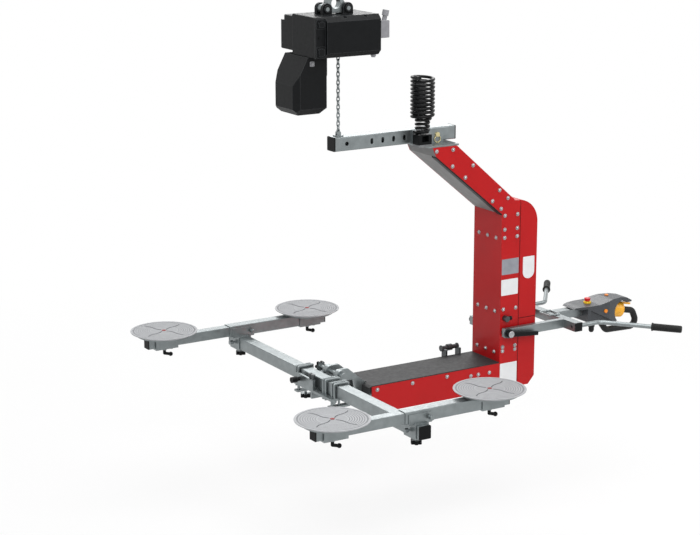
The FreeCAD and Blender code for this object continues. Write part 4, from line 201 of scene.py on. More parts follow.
# Black caps and knobs on plated pieces: brushing, then axis, side and depth from that side of the box
BLACK = (0.0052, 0.0057, 0.0062)
CAP_ROUGH = 0.46
CAP_GLOSS = 0.10
CAP_METAL = 0.0
BEAM_CAP = 0.005
CROSS_CAP = 0.004
KNOB_HEIGHT = 0.017
LEVER_HEIGHT = 0.031
HOIST_END_REACH = 0.040
CROSS_CAPS = (ALONG_X, ((X, 1, CROSS_CAP), (Z, -1, KNOB_HEIGHT)))
INNER_CAPS = (ALONG_X, ((X, -1, CROSS_CAP),))
CARRIERS = ("far_left_carrier", "far_right_carrier", "near_left_carrier", "near_right_carrier")
PADS = {carrier: carrier.replace("carrier", "pad") for carrier in CARRIERS}
CAPPED = {
    "boom_tube": (ALONG_X, ((X, -1, BEAM_CAP), (X, 1, BEAM_CAP))),
    "main_beam": (ALONG_Y, ((Y, -1, BEAM_CAP), (Y, 1, BEAM_CAP))),
    "far_cross_beam": CROSS_CAPS,
    "near_cross_beam": CROSS_CAPS,
    "far_inner_tube": INNER_CAPS,
    "near_inner_tube": INNER_CAPS,
    "beam_clamps": (ALONG_Y, ((Z, -1, KNOB_HEIGHT),)),
    "tilt_pin": (ALONG_Y, ((Y, 1, KNOB_HEIGHT),)),
    "hoist_fasteners": (ALONG_X, ((X, -1, HOIST_END_REACH),)),
}
for carrier in CARRIERS:
    CAPPED[carrier] = (ALONG_X, ((Z, -1, LEVER_HEIGHT),))
DARK_STEEL_NODES = ("column_valve", "slide_valve", "valve_sleeve", "handle_shaft")

# Meshes of the fine pieces
SMOOTH_ANGLE = math.radians(38.0)
CORNER_STEPS = 6
HEXAGON_SIDES = 6
WELD = 0.00002
TURNED_SEGMENTS = 36
ROD_BEVEL_STEPS = 4
ROD_CURVE_STEPS = 12

# Vacuum pads: saucer with a soft lip, fine rings, thin channels and a middle filter; the floor between the
# rings, the middle floor and the channel strips are darker as painted shade
PAD_DEPTH = 0.016
PAD_DISH = 0.0012
PAD_SEGMENTS = 120
PAD_FLANK = ((0.118, 0.016), (0.1215, 0.0157), (0.129, 0.0132), (0.139, 0.0090), (0.1465, 0.0058))
PAD_LIP = (
    (0.1492, 0.0040), (0.150, 0.0022), (0.1496, 0.0008), (0.1480, 0.0), (0.1424, 0.0), (0.1404, 0.0008),
)
PAD_RING_COUNT = 8
PAD_RING_PITCH = 0.0098
PAD_RING_RADIUS = 0.1305
PAD_RING = (
    (0.0028, 0.0), (0.0026, 0.0002), (0.0018, 0.0003),
    (-0.0018, 0.0003), (-0.0026, 0.0002), (-0.0028, 0.0),
)
PAD_LINE_SPAN = (0.017, 0.118)
PAD_LINE_WIDTH = 0.0040
PAD_LINE_TOP = 0.0005
PAD_LINE_STEPS = 12
PAD_LINE_SWAY = 0.005
PAD_LINE_ANGLES = (28.0, 112.0, 208.0, 292.0)
PAD_FILTER = (
    (0.0, 0.0), (0.0095, 0.0), (0.0095, 0.0012), (0.0085, 0.0018),
    (0.0045, 0.0018), (0.0035, 0.0010), (0.0, 0.0010),
)
PAD_FILTER_SEGMENTS = 24
PAD_FINISHES = ("pad_rubber", "pad_groove", "pad_line", "pad_filter", "pad_middle")

# Bolts: washer, domed head and hexagon socket
BOLT_STACK = 0.0071
BOLT_SEGMENTS = 24
BOLT_PROFILE = (
    (0.0086, 0.0), (0.0090, 0.0004), (0.0090, 0.0012), (0.0086, 0.0016), (0.0067, 0.0016),
    (0.0066, 0.0020), (0.0066, 0.0034), (0.0063, 0.0048), (0.0054, 0.0061), (0.0043, 0.0069),
    (0.0037, 0.0071),
)
BOLT_SOCKET_APOTHEM = 0.0026
BOLT_SOCKET_FLOOR = 0.0040

# Handlebar grips with fine rings, and the crossbar's end caps
BAR_SPLAY = math.radians(51.0)
GRIP_HEADINGS = [Vector((math.cos(BAR_SPLAY), side * math.sin(BAR_SPLAY), 0)) for side in (-1, 1)]
GRIP_COLLAR = (
    (0.0, 0.0), (0.0172, 0.0), (0.0188, 0.0010), (0.0190, 0.0024), (0.0188, 0.0046), (0.0178, 0.0058),
)
GRIP_ROOT = 0.0072
GRIP_RADIUS = 0.0165
GRIP_RING_PITCH = 0.0042
GRIP_RING = ((0.0, 0.0), (0.0, 0.0026), (-0.0008, 0.0031), (-0.0008, 0.0038))
GRIP_TIP = ((0.0163, 0.0075), (0.0160, 0.0040), (0.0148, 0.0014), (0.0128, 0.0002), (0.0, 0.0))
GRIP_SEGMENTS = 40
CAP_BEVEL = 0.0018
CAP_FLATNESS = 2  # a cap is at least this many times as wide as it is thick

# Bare label plates on the near side: lowest and highest corner, corner radii and finish
PLATE_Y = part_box("near_side_plate")[0].y
LABEL_THICKNESS = 0.0007
LABEL_ROUND = 0.003
LABEL_ARCH = 0.0310
SQUARE_RADII = (LABEL_ROUND,) * 4
ARCH_RADII = (LABEL_ARCH, LABEL_ARCH, LABEL_ROUND, LABEL_ROUND)
LABELS = {
    "label_grey": ((0.8015, -1.237), (0.8935, -1.166), SQUARE_RADII, "label_grey"),
    "label_white": ((0.8005, -1.332), (0.8915, -1.259), SQUARE_RADII, "label_white"),
    "label_rear": ((0.9175, -1.269), (0.9805, -1.168), ARCH_RADII, "label_white"),
    "label_low": ((0.8015, -1.760), (0.8945, -1.646), SQUARE_RADII, "label_white"),
}

# Dark strip along the near edge under the slanted arm, and the seams of the column's covers
STRIP_START = (0.447, -0.6713)
STRIP_END = (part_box("arm_underside_plate")[1].x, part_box("arm_underside_plate")[0].z)
STRIP_Y = (PLATE_Y, -0.070)
STRIP_DEPTH = 0.005
STRIP_ROUND = 0.0018
SEAM_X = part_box("near_side_plate")[1].x
SEAM_WIDTH = 0.0026
SEAM_DEPTH = 0.0005
SEAM_TOP = -0.909
SEAM_BOTTOM = -1.764
SEAM_REAR = 0.9925
SEAM_CROSS_Z = -1.447

# Wire bow on the crossbar
BOW_CORNERS = ((1.102, -0.066), (1.102, 0.006), (1.162, 0.006), (1.162, -0.066))
BOW_RADIUS = 0.0036
BOW_INSET = 0.010
BOW_LIFT = 0.0045
BOW_FOOT_X = 1.150
BOW_FOOT_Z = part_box("handle_frame")[1].z
BOW_Z = BOW_FOOT_Z + BOW_LIFT
BOW_FOOT = (
    (0.0, 0.0), (0.0058, 0.0), (0.0058, 0.0042), (0.0046, 0.0066), (0.0032, 0.0080), (0.0, 0.0084),
)

# Stirrups beside the beam clamps, with nuts under the cradle, and two knobs on the cradle's wall, which
# get the dark steel finish as painted shade
STIRRUP_XS = (-0.0975, -0.0285)
STIRRUP_YS = (-0.1595, -0.088, -0.069, 0.1595)
STIRRUP_TOP = -1.5803
STIRRUP_BOTTOM = -1.668
STIRRUP_RADIUS = 0.0052
STIRRUP_INSET = 0.007
STIRRUP_NUT_Z = -1.6515
STIRRUP_NUT = (
    (0.0, 0.0), (0.0098, 0.0), (0.0104, 0.0008), (0.0104, 0.0072), (0.0098, 0.0080), (0.0, 0.0080),
)
WALL_KNOB_X = -0.1115
WALL_KNOB_YS = (-0.008, 0.016)
WALL_KNOB_Z = -1.5985
WALL_KNOB = (
    (0.0, 0.0), (0.0055, 0.0), (0.0055, 0.0070), (0.0092, 0.0085),
    (0.0098, 0.0110), (0.0098, 0.0225), (0.0086, 0.0255), (0.0, 0.0262),
)

# Ring under the emergency stop, plug under the control unit, cap of the lever's hub, foot under the hoist
STOP_PLACE = (1.374, 0.0, -1.46656)
STOP_RING = (
    (0.0161, 0.0001), (0.0182, 0.0001), (0.0184, 0.0062), (0.0176, 0.0078), (0.0166, 0.00825),
    (0.0092, 0.00825), (0.0092, 0.0081), (0.0161, 0.0081), (0.0161, 0.0001),
)
PLUG_PLACE = (1.403, 0.0, -1.556)
PLUG_PROFILE = (
    (0.0, -0.004), (0.0150, -0.004), (0.0150, 0.012), (0.0165, 0.0135), (0.0165, 0.0225), (0.0150, 0.024),
    (0.0150, 0.030), (0.0128, 0.0325), (0.0128, 0.046), (0.0110, 0.050), (0.0080, 0.055), (0.0, 0.055),
)
HUB_PLACE = (middle_of("handle_shaft").x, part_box("clamp_lever")[0].y, middle_of("handle_shaft").z)
HUB_HEADING = (0, -1, 0)
HUB_PROFILE = (
    (0.0, -0.0005), (0.0150, -0.0005), (0.0150, 0.0012), (0.0138, 0.0026),
    (0.0070, 0.0032), (0.0064, 0.0022), (0.0, 0.0022),
)
FOOT_PLACE = (0.146, -0.074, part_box("hoist_housing")[0].z)
FOOT_PROFILE = (
    (0.0, -0.001), (0.0115, -0.001), (0.0115, 0.006), (0.0095, 0.0075), (0.0085, 0.0125), (0.0, 0.0135),
)

# The turned pieces by name: profile, place, heading, body, slot and finish
TURNED = {
    "stop_ring": (STOP_RING, STOP_PLACE, UP, "handle", "collar_plastic", "stop_yellow"),
    "unit_plug": (PLUG_PROFILE, PLUG_PLACE, DOWN, "handle", "black_plastic", "grip_rubber"),
    "lever_hub_cap": (HUB_PROFILE, HUB_PLACE, HUB_HEADING, "clamp_lever", "bolt_steel", "bolt_steel"),
    "hoist_foot": (FOOT_PROFILE, FOOT_PLACE, DOWN, "hoist", "plug_plastic", "plug_plastic"),
}

# Stepped blocks on the hoist: lowest and highest corner, rounding, plane, steps of inset and reach, slot
BLOCK_ROUND = 0.007
BLOCK_RECESS = 0.014
BLOCK_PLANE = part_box("hoist_front_cover")[0].y + BLOCK_RECESS
BLOCK_STEPS = ((0.0, 0.0035), (0.0080, 0.0125))
BLOCK_SIZES = (BLOCK_ROUND, BLOCK_PLANE, BLOCK_STEPS, "black_cast")
CLIP_ROUND = 0.0035
CLIP_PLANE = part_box("chain_bucket")[0].y
CLIP_STEPS = ((0.0, 0.0035), (0.0045, 0.0075))
CLIP_SIZES = (CLIP_ROUND, CLIP_PLANE, CLIP_STEPS, "plug_plastic")
STEPPED = {
    "corner_block_upper": ((-0.1410, -0.0920), (-0.0980, -0.0530), *BLOCK_SIZES),
    "corner_block_lower": ((-0.1410, -0.2080), (-0.0980, -0.1620), *BLOCK_SIZES),
    "bucket_clip": ((-0.133, -0.250), (-0.112, -0.229), *CLIP_SIZES),
}

# Dark collars around the heads of the suspension pins
COLLAR_X = 0.0505
COLLAR_Z = -0.020
COLLAR_PROFILE = (
    (0.0141, -0.0048), (0.0158, -0.0048), (0.0158, 0.0004), (0.0148, 0.0012), (0.0096, 0.0012),
    (0.0088, 0.0006), (0.0088, 0.0001), (0.0141, 0.0001), (0.0141, -0.0048),
)

# Round tips on the levers under the pads
TIP_RADIUS = 0.0100
TIP_BACK = 0.0060
TIP_STEPS = 10
TIP_SLICE = 0.0010
TIP_HEADING = (1, 0, 0)


# A finish is built from nodes in the object's own coordinates
class Finish:
    def __init__(self, name, colour, rough, gloss, metal=0.0):
        self.material = bpy.data.materials.new(name)
        self.material.use_nodes = True
        self.nodes = self.material.node_tree.nodes
        self.links = self.material.node_tree.links
        self.shader = self.nodes["Principled BSDF"]
        self.shader.inputs["Base Color"].default_value = (*colour, 1.0)
        self.shader.inputs["Roughness"].default_value = rough
        self.shader.inputs["Metallic"].default_value = metal
        self.shader.inputs["Specular IOR Level"].default_value = gloss
        self.colour = colour
        self.rough = rough
        self.gloss = gloss
        self.metal = metal
        self.place = self.nodes.new("ShaderNodeTexCoord").outputs["Object"]
        self.heights = []

    def link(self, source, target):
        self.links.new(source, target)

    def noise(self, scale, detail, stretch=None):
        node = self.nodes.new("ShaderNodeTexNoise")
        node.inputs["Scale"].default_value = scale
        node.inputs["Detail"].default_value = detail
        place = self.place
        if stretch is not None:
            mapping = self.nodes.new("ShaderNodeMapping")
            mapping.inputs["Scale"].default_value = stretch
            self.link(place, mapping.inputs["Vector"])
            place = mapping.outputs["Vector"]
        self.link(place, node.inputs["Vector"])
        return node.outputs["Fac"]

    def cells(self, scale):
        node = self.nodes.new("ShaderNodeTexVoronoi")
        node.inputs["Scale"].default_value = scale
        self.link(self.place, node.inputs["Vector"])
        return node.outputs["Distance"]

    def spread(self, source, low, high):
        node = self.nodes.new("ShaderNodeMapRange")
        node.inputs["From Min"].default_value = NOISE_LOW_SHARE
        node.inputs["From Max"].default_value = NOISE_HIGH_SHARE
        node.inputs["To Min"].default_value = low
        node.inputs["To Max"].default_value = high
        self.link(source, node.inputs["Value"])
        return node.outputs["Result"]

    def blend(self, factor, first, second):
        node = self.nodes.new("ShaderNodeMix")
        node.data_type = "RGBA"
        self.link(factor, node.inputs["Factor"])
        self.fill(((first, node.inputs["A"]), (second, node.inputs["B"])))
        return node.outputs["Result"]

    def choose(self, factor, first, second):
        node = self.nodes.new("ShaderNodeMix")
        self.link(factor, node.inputs["Factor"])
        self.fill(((first, node.inputs["A"]), (second, node.inputs["B"])))
        return node.outputs["Result"]

    def math(self, operation, first, second):
        node = self.nodes.new("ShaderNodeMath")
        node.operation = operation
        self.fill(zip((first, second), node.inputs))
        return node.outputs[0]

    def fill(self, pairs):
        for value, target in pairs:
            if isinstance(value, tuple):
                target.default_value = (*value, 1.0)
            elif isinstance(value, float):
                target.default_value = value
            else:
                self.link(value, target)

    def mottle(self, scale, share):
        dark = tuple(part * (1 - share) for part in self.colour)
        light = tuple(min(part * (1 + share), 1.0) for part in self.colour)
        source = self.spread(self.noise(scale, MOTTLE_DETAIL), 0.0, 1.0)
        self.colour_source = self.blend(source, dark, light)
        self.link(self.colour_source, self.shader.inputs["Base Color"])
        return self

    def wear(self, scale, share):
        low = max(self.rough - share, LEAST_ROUGH)
        self.rough_source = self.spread(self.noise(scale, NOISE_DETAIL), low, self.rough + share)
        self.link(self.rough_source, self.shader.inputs["Roughness"])
        return self

    def grain(self, scale, depth, stretch=None):
        self.heights.append((self.noise(scale, GRAIN_DETAIL, stretch), depth))
        return self

    def pebbles(self, scale, depth):
        self.heights.append((self.cells(scale), depth))
        return self

    def rounded_normal(self, radius):
        node = self.nodes.new("ShaderNodeBevel")
        node.samples = EDGE_SAMPLES
        node.inputs["Radius"].default_value = radius
        return node.outputs["Normal"]

    # Painted highlight: the colour turns lighter where the rounded normal bends away from the face's
    # normal, along the edges
    def paint_edge_highlight(self, colour):
        if colour is None:
            return self
        turn = self.nodes.new("ShaderNodeVectorMath")
        turn.operation = "DOT_PRODUCT"
        self.link(self.rounded_normal(EDGE_SHEEN_RADIUS), turn.inputs[0])
        self.link(self.nodes.new("ShaderNodeNewGeometry").outputs["Normal"], turn.inputs[1])
        rise = self.nodes.new("ShaderNodeMapRange")
        rise.inputs["From Min"].default_value = EDGE_SHEEN_SHARES[0]
        rise.inputs["From Max"].default_value = EDGE_SHEEN_SHARES[1]
        self.link(turn.outputs["Value"], rise.inputs["Value"])
        self.colour_source = self.blend(rise.outputs["Result"], self.colour_source, colour)
        self.link(self.colour_source, self.shader.inputs["Base Color"])
        return self

    def zone(self, rules):
        split = self.nodes.new("ShaderNodeSeparateXYZ")
        self.link(self.place, split.inputs["Vector"])
        found = None
        for axis, side, limit in rules:
            test = self.math("GREATER_THAN" if side > 0 else "LESS_THAN", split.outputs[axis], limit)
            found = test if found is None else self.math("MAXIMUM", found, test)
        return found

    def blacken(self, rules):
        if not rules:
            return self
        factor = self.zone(rules)
        inputs = self.shader.inputs
        self.link(self.blend(factor, self.colour_source, BLACK), inputs["Base Color"])
        self.link(self.choose(factor, self.rough_source, CAP_ROUGH), inputs["Roughness"])
        self.link(self.choose(factor, self.gloss, CAP_GLOSS), inputs["Specular IOR Level"])
        self.link(self.choose(factor, self.metal, CAP_METAL), inputs["Metallic"])
        return self

    def done(self):
        normal = self.rounded_normal(EDGE_RADIUS)
        for height, depth in self.heights:
            node = self.nodes.new("ShaderNodeBump")
            node.inputs["Strength"].default_value = BUMP_STRENGTH
            node.inputs["Distance"].default_value = depth
            self.link(height, node.inputs["Height"])
            self.link(normal, node.inputs["Normal"])
            normal = node.outputs["Normal"]
        self.link(normal, self.shader.inputs["Normal"])
        return self.material


def zinc(name, colour=ZINC_COLOUR, rough=ZINC_ROUGH, stretch=ALONG_X, black_zones=()):
    finish = Finish(name, colour, rough, ZINC_GLOSS, ZINC_METAL)
    finish.mottle(*ZINC_MOTTLE).wear(*ZINC_WEAR).grain(*ZINC_BRUSH, stretch).grain(*ZINC_GRAIN)
    return finish.blacken(black_zones).done()


def powder(name, colour, rough, gloss, grain=POWDER_GRAIN, edge=None, black_zones=()):
    finish = Finish(name, colour, rough, gloss)
    finish.mottle(*POWDER_MOTTLE).wear(*POWDER_WEAR).grain(*grain).grain(*POWDER_WAVES)
    return finish.paint_edge_highlight(edge).blacken(black_zones).done()


def moulded(name, colour, rough, gloss, pebbles=MOULD_PEBBLES, mottle_share=MOULD_MOTTLE_SHARE, edge=None):
    finish = Finish(name, colour, rough, gloss)
    finish.mottle(MOULD_MOTTLE_SCALE, mottle_share).wear(*MOULD_WEAR).pebbles(*pebbles)
    return finish.paint_edge_highlight(edge).done()


def red_paint():
    finish = Finish("red_paint", RED_COLOUR, RED_ROUGH, RED_GLOSS)
    finish.mottle(*PAINT_MOTTLE).wear(*PAINT_WEAR).grain(*PAINT_GRAIN).grain(*PAINT_WAVES)
    return finish.done()


def cable_base_coat():
    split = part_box("cable_base")[0].z + BASE_FOOT
    return powder("cable_base", BASE_COLOUR, BASE_ROUGH, BASE_GLOSS, black_zones=((Z, 1, split),))


def make_finishes():
    finishes = {"red_paint": red_paint()}
    for make, rows in ((zinc, PLATED), (powder, POWDERS), (moulded, MOULDS)):
        for name, row in rows.items():
            finishes[name] = make(name, *row)
    return finishes


# Limits of a node's black zones, measured in from the sides of its box
def end_zones(node, rules):
    low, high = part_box(node)
    zones = []
    for axis, side, depth in rules:
        limit = low[axis] + depth if side < 0 else high[axis] - depth
        zones.append((axis, side, limit))
    return zones


def paint(obj, material):
    obj.data.materials.clear()
    obj.data.materials.append(material)


def paint_nodes():
    looks = {node: FINISHES["dark_steel"] for node in DARK_STEEL_NODES}
    looks["cable_base"] = cable_base_coat()
    for part in frame["record"]["subparts"]:
        name = part["node"]
        if name in CAPPED:
            stretch, rules = CAPPED[name]
            material = zinc(name + "_finish", stretch=stretch, black_zones=end_zones(name, rules))
        elif name in looks:
            material = looks[name]
        else:
            material = FINISHES[part["material_slot"]]
        paint(frame["nodes"][name], material)


# Helpers for meshes and lines
def mesh_object(name, shape, body, slot, *materials):
    mesh = bpy.data.meshes.new(name)
    bmesh.ops.recalc_face_normals(shape, faces=shape.faces)
    shape.to_mesh(mesh)
    shape.free()
    for polygon in mesh.polygons:
        polygon.use_smooth = True
    mesh.set_sharp_from_angle(angle=SMOOTH_ANGLE)
    for material in materials:
        mesh.materials.append(material)
    obj = bpy.data.objects.new(name, mesh)
    scene.collection.objects.link(obj)
    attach(obj, body)
    return obj


def basis(heading):
    along = Vector(heading).normalized()
    side = along.orthogonal().normalized()
    return along, side, along.cross(side)


def ring_place(root, axes, reach, radius, angle):
    along, side, up = axes
    return Vector(root) + along * reach + (side * math.cos(angle) + up * math.sin(angle)) * radius


def revolve(shape, profile, root, heading, segments, index=0):
    axes = basis(heading)
    rings = []
    for radius, reach in profile:
        angles = [FULL_TURN * step / segments for step in range(segments if radius else 1)]
        rings.append([shape.verts.new(ring_place(root, axes, reach, radius, angle)) for angle in angles])
    for first, second in zip(rings, rings[1:]):
        bridge(shape, first, second, index)
    return rings


# Faces between two rings of corners, either of which may be a single point
def bridge(shape, first, second, index=0):
    count = max(len(first), len(second))
    for step in range(count):
        after = (step + 1) % count
        if len(first) == 1:
            corners = (first[0], second[after], second[step])
        elif len(second) == 1:
            corners = (first[step], first[after], second[0])
        else:
            corners = (first[step], first[after], second[after], second[step])
        shape.faces.new(corners).material_index = index


def prism(shape, outline, reach, index=0):
    low = [shape.verts.new(corner) for corner in outline]
    high = [shape.verts.new(Vector(corner) + Vector(reach)) for corner in outline]
    bridge(shape, low, high, index)
    for ring in (low, high):
        shape.faces.new(ring).material_index = index


# Points round a rectangle whose corners have a radius each
def rounded_outline(low, high, radii):
    corners = ((low[0], low[1]), (high[0], low[1]), (high[0], high[1]), (low[0], high[1]))
    places = []
    for quarter, ((x, z), radius) in enumerate(zip(corners, radii)):
        centre_x = x + radius if x == low[0] else x - radius
        centre_z = z + radius if z == low[1] else z - radius
        for step in range(CORNER_STEPS + 1):
            angle = math.pi + FULL_TURN / 4 * (quarter + step / CORNER_STEPS)
            places.append((centre_x + radius * math.cos(angle), centre_z + radius * math.sin(angle)))
    return places


# Smooth line with a round section along its points
def round_line(name, points, radius, bevel_steps, curve_steps, closed=False):
    curve = bpy.data.curves.new(name, "CURVE")
    curve.dimensions = "3D"
    curve.bevel_depth = TUBE_SCALE
    curve.bevel_resolution = bevel_steps
    curve.resolution_u = curve_steps
    curve.use_fill_caps = True
    spline = curve.splines.new("NURBS")
    spline.points.add(len(points) - 1)
    for place, target in zip(points, spline.points):
        target.co = (*place, 1.0)
        target.radius = radius
    spline.order_u = 3
    spline.use_cyclic_u = closed
    spline.use_endpoint_u = not closed
    return bpy.data.objects.new(name, curve)


# Rod whose bends begin the inset before each corner
def bent_rod(shape, corners, radius, inset, closed):
    points = []
    for index, corner in enumerate(corners):
        if not closed and index in (0, len(corners) - 1):
            points.append(corner)
            continue
        before = (corners[index - 1] - corner).normalized()
        after = (corners[(index + 1) % len(corners)] - corner).normalized()
        points += [corner + before * inset, corner, corner + after * inset]
    maker = round_line("rod_line", points, radius, ROD_BEVEL_STEPS, ROD_CURVE_STEPS, closed)
    shape.from_mesh(bpy.data.meshes.new_from_object(maker))
    bpy.data.objects.remove(maker)


# Corner points of each separate solid in a node
def islands(node):
    mesh = frame["nodes"][node].data
    keys = {}
    owner = []
    for vertex in mesh.vertices:
        key = tuple(round(value / WELD) for value in vertex.co)
        owner.append(keys.setdefault(key, len(keys)))
    parent = list(range(len(keys)))

    def root(item):
        while parent[item] != item:
            parent[item] = parent[parent[item]]
            item = parent[item]
        return item

    for edge in mesh.edges:
        a, b = (root(owner[vertex]) for vertex in edge.vertices)
        parent[a] = b
    groups = {}
    for vertex, key in zip(mesh.vertices, owner):
        groups.setdefault(root(key), []).append(vertex.co.copy())
    return list(groups.values())


def extent(points):
    low = Vector([min(point[axis] for point in points) for axis in (X, Y, Z)])
    high = Vector([max(point[axis] for point in points) for axis in (X, Y, Z)])
    return low, high


# Pieces of the object
def coil_point(turn):
    climb = min(max((turn - COIL_NECK_TURNS) / COIL_FLARE_TURNS, 0), 1)
    ease = climb * climb * (3 - 2 * climb)
    radius = COIL_NECK_RADIUS + (COIL_RADIUS - COIL_NECK_RADIUS) * ease
    angle = COIL_START + FULL_TURN * turn
    x = COIL_AXIS[0] + radius * math.cos(angle)
    y = COIL_AXIS[1] + radius * math.sin(angle)
    return Vector((x, y, COIL_BOTTOM + COIL_PITCH * turn))


def coil_heading(turn):
    step = 1 / COIL_POINTS_PER_TURN**2
    return (coil_point(turn + step) - coil_point(turn - step)).normalized()


def spiral_cable():
    count = round(COIL_TURNS * COIL_POINTS_PER_TURN)
    points = [coil_point(0) - coil_heading(0) * 2 * CABLE_RADIUS]
    points += [coil_point(index / COIL_POINTS_PER_TURN) for index in range(count + 1)]
    points.append(coil_point(COIL_TURNS) + coil_heading(COIL_TURNS) * 2 * CABLE_RADIUS)
    cord = round_line("curly_cord", points, CABLE_RADIUS, CABLE_BEVEL_STEPS, CABLE_CURVE_STEPS)
    scene.collection.objects.link(cord)
    paint(cord, FINISHES["cable_jacket"])
    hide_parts("spiral_cable")
    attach(cord, "frame")


def vacuum_pad(node, place):
    x, y = place.xy
    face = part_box(node)[1].z
    floor = face - PAD_DISH
    profile = [(0.0, face - PAD_DEPTH)] + [(radius, face - drop) for radius, drop in PAD_FLANK + PAD_LIP]
    profile.append((PAD_RING_RADIUS + PAD_RING_PITCH, floor))
    for count in range(PAD_RING_COUNT):
        middle = PAD_RING_RADIUS - PAD_RING_PITCH * count
        profile += [(middle + reach, floor + rise) for reach, rise in PAD_RING]
    profile += [(PAD_RING_RADIUS - PAD_RING_PITCH * PAD_RING_COUNT, floor), (0.0, floor)]
    shape = bmesh.new()
    revolve(shape, profile, (x, y, 0), UP, PAD_SEGMENTS)
    inner = PAD_RING_RADIUS - PAD_RING_PITCH * (PAD_RING_COUNT - 1 / 2)
    # The floor between the rings and the middle floor get darker finishes than the rubber: painted shade
    for wall in shape.faces:
        if all(abs(corner.co.z - floor) < WELD for corner in wall.verts):
            ringed = all((corner.co.xy - place.xy).length > inner for corner in wall.verts)
            wall.material_index = PAD_FINISHES.index("pad_groove" if ringed else "pad_middle")
    for angle in PAD_LINE_ANGLES:
        pad_line(shape, Vector((x, y, floor)), math.radians(angle))
    index = PAD_FINISHES.index("pad_filter")
    revolve(shape, PAD_FILTER, (x, y, floor), UP, PAD_FILTER_SEGMENTS, index)
    finishes = [FINISHES[name] for name in PAD_FINISHES]
    pad = mesh_object(node + "_saucer", shape, node, "pad_rubber", *finishes)
    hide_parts(node)


def pad_line(shape, middle, angle):
    out = Vector((math.cos(angle), math.sin(angle), 0))
    across = Vector((-out.y, out.x, 0))
    start, end = PAD_LINE_SPAN
    sides = ([], [])
    for step in range(PAD_LINE_STEPS + 1):
        share = step / PAD_LINE_STEPS
        reach = start + (end - start) * share
        sway = PAD_LINE_SWAY * math.sin(FULL_TURN * share)
        for edge, side in zip(sides, (-1, 1)):
            edge.append(middle + out * reach + across * (sway + side * PAD_LINE_WIDTH / 2))
    # The strip is dark as painted shade along a channel
    index = PAD_FINISHES.index("pad_line")
    prism(shape, sides[0] + sides[1][::-1], (0, 0, PAD_DISH - PAD_LINE_TOP), index)


def domed_bolt(shape, root, heading):
    rings = revolve(shape, BOLT_PROFILE, root, heading, BOLT_SEGMENTS)
    axes = basis(heading)
    sixth = FULL_TURN / HEXAGON_SIDES
    socket = []
    for reach in (BOLT_PROFILE[-1][1], BOLT_SOCKET_FLOOR):
        ring = []
        for step in range(BOLT_SEGMENTS):
            angle = FULL_TURN * step / BOLT_SEGMENTS
            radius = BOLT_SOCKET_APOTHEM / math.cos(angle % sixth - sixth / 2)
            ring.append(shape.verts.new(ring_place(root, axes, reach, radius, angle)))
        socket.append(ring)
    bridge(shape, rings[-1], socket[0])
    bridge(shape, socket[0], socket[1])
    shape.faces.new(socket[1])
    shape.faces.new(rings[0])


# Bolts along x face the throat, and the others face away from the origin
def frame_bolts():
    shape = bmesh.new()
    for points in islands("frame_bolts"):
        low, high = extent(points)
        size = high - low
        axis = min((X, Y, Z), key=lambda item: size[item])
        heading = Vector((0, 0, 0))
        heading[axis] = -1 if axis == X else math.copysign(1, low[axis] + high[axis])
        root = (low + high) / 2
        root[axis] = (high[axis] if heading[axis] > 0 else low[axis]) - heading[axis] * BOLT_STACK
        domed_bolt(shape, root, heading)
    bolts = mesh_object("domed_bolts", shape, "frame", "bolt_steel", FINISHES["bolt_steel"])
    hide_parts("frame_bolts")


def ringed_grip(shape, points, heading):
    along, side, up = basis(heading)
    reaches = [point.dot(along) for point in points]
    length = max(reaches) - min(reaches)
    root = along * min(reaches)
    for across in (side, up):
        spots = [point.dot(across) for point in points]
        root += across * ((min(spots) + max(spots)) / 2)
    profile = list(GRIP_COLLAR)
    count = int((length - GRIP_ROOT - GRIP_TIP[0][1]) / GRIP_RING_PITCH)
    for index in range(count):
        start = GRIP_ROOT + GRIP_RING_PITCH * index
        profile += [(GRIP_RADIUS + rise, start + reach) for rise, reach in GRIP_RING]
    profile += [(radius, length - back) for radius, back in GRIP_TIP]
    revolve(shape, profile, root, heading, GRIP_SEGMENTS)


def handle_grips():
    grips = bmesh.new()
    caps = bmesh.new()
    for points in islands("handle_grips"):
        low, high = extent(points)
        if high.x - low.x < CAP_FLATNESS * (high.y - low.y):
            ringed_grip(grips, points, GRIP_HEADINGS[low.y + high.y > 0])
        else:
            outline = rounded_outline((low.x, low.z), (high.x, high.z), (CAP_BEVEL,) * 4)
            prism(caps, [(x, low.y, z) for x, z in outline], (0, high.y - low.y, 0))
    pair = mesh_object("ringed_grips", grips, "handle", "grip_rubber", FINISHES["grip_rubber"])
    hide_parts("handle_grips")
    mesh_object("crossbar_caps", caps, "handle", "black_plastic", FINISHES["black_plastic"])


def label_plate(name, low, high, radii, finish):
    shape = bmesh.new()
    outline = [(x, PLATE_Y, z) for x, z in rounded_outline(low, high, radii)]
    prism(shape, outline, (0, -LABEL_THICKNESS, 0))
    mesh_object(name, shape, "frame", "grey_plate", FINISHES[finish])


# Dark strip under the near edge of the slanted arm
def dark_edge_strip():
    shape = bmesh.new()
    start, end = (Vector((x, 0, z)) for x, z in (STRIP_START, STRIP_END))
    along = (end - start).normalized()
    under = Vector((along.z, 0, -along.x))
    radii = (0.0, 0.0, STRIP_ROUND, STRIP_ROUND)
    section = rounded_outline((STRIP_Y[0], 0.0), (STRIP_Y[1], STRIP_DEPTH), radii)
    outline = [start + Vector((0, y, 0)) + under * depth for y, depth in section]
    prism(shape, outline, end - start)
    bmesh.ops.remove_doubles(shape, verts=shape.verts, dist=WELD)
    mesh_object("arm_dark_edge_strip", shape, "frame", "black_plastic", FINISHES["black_plastic"])


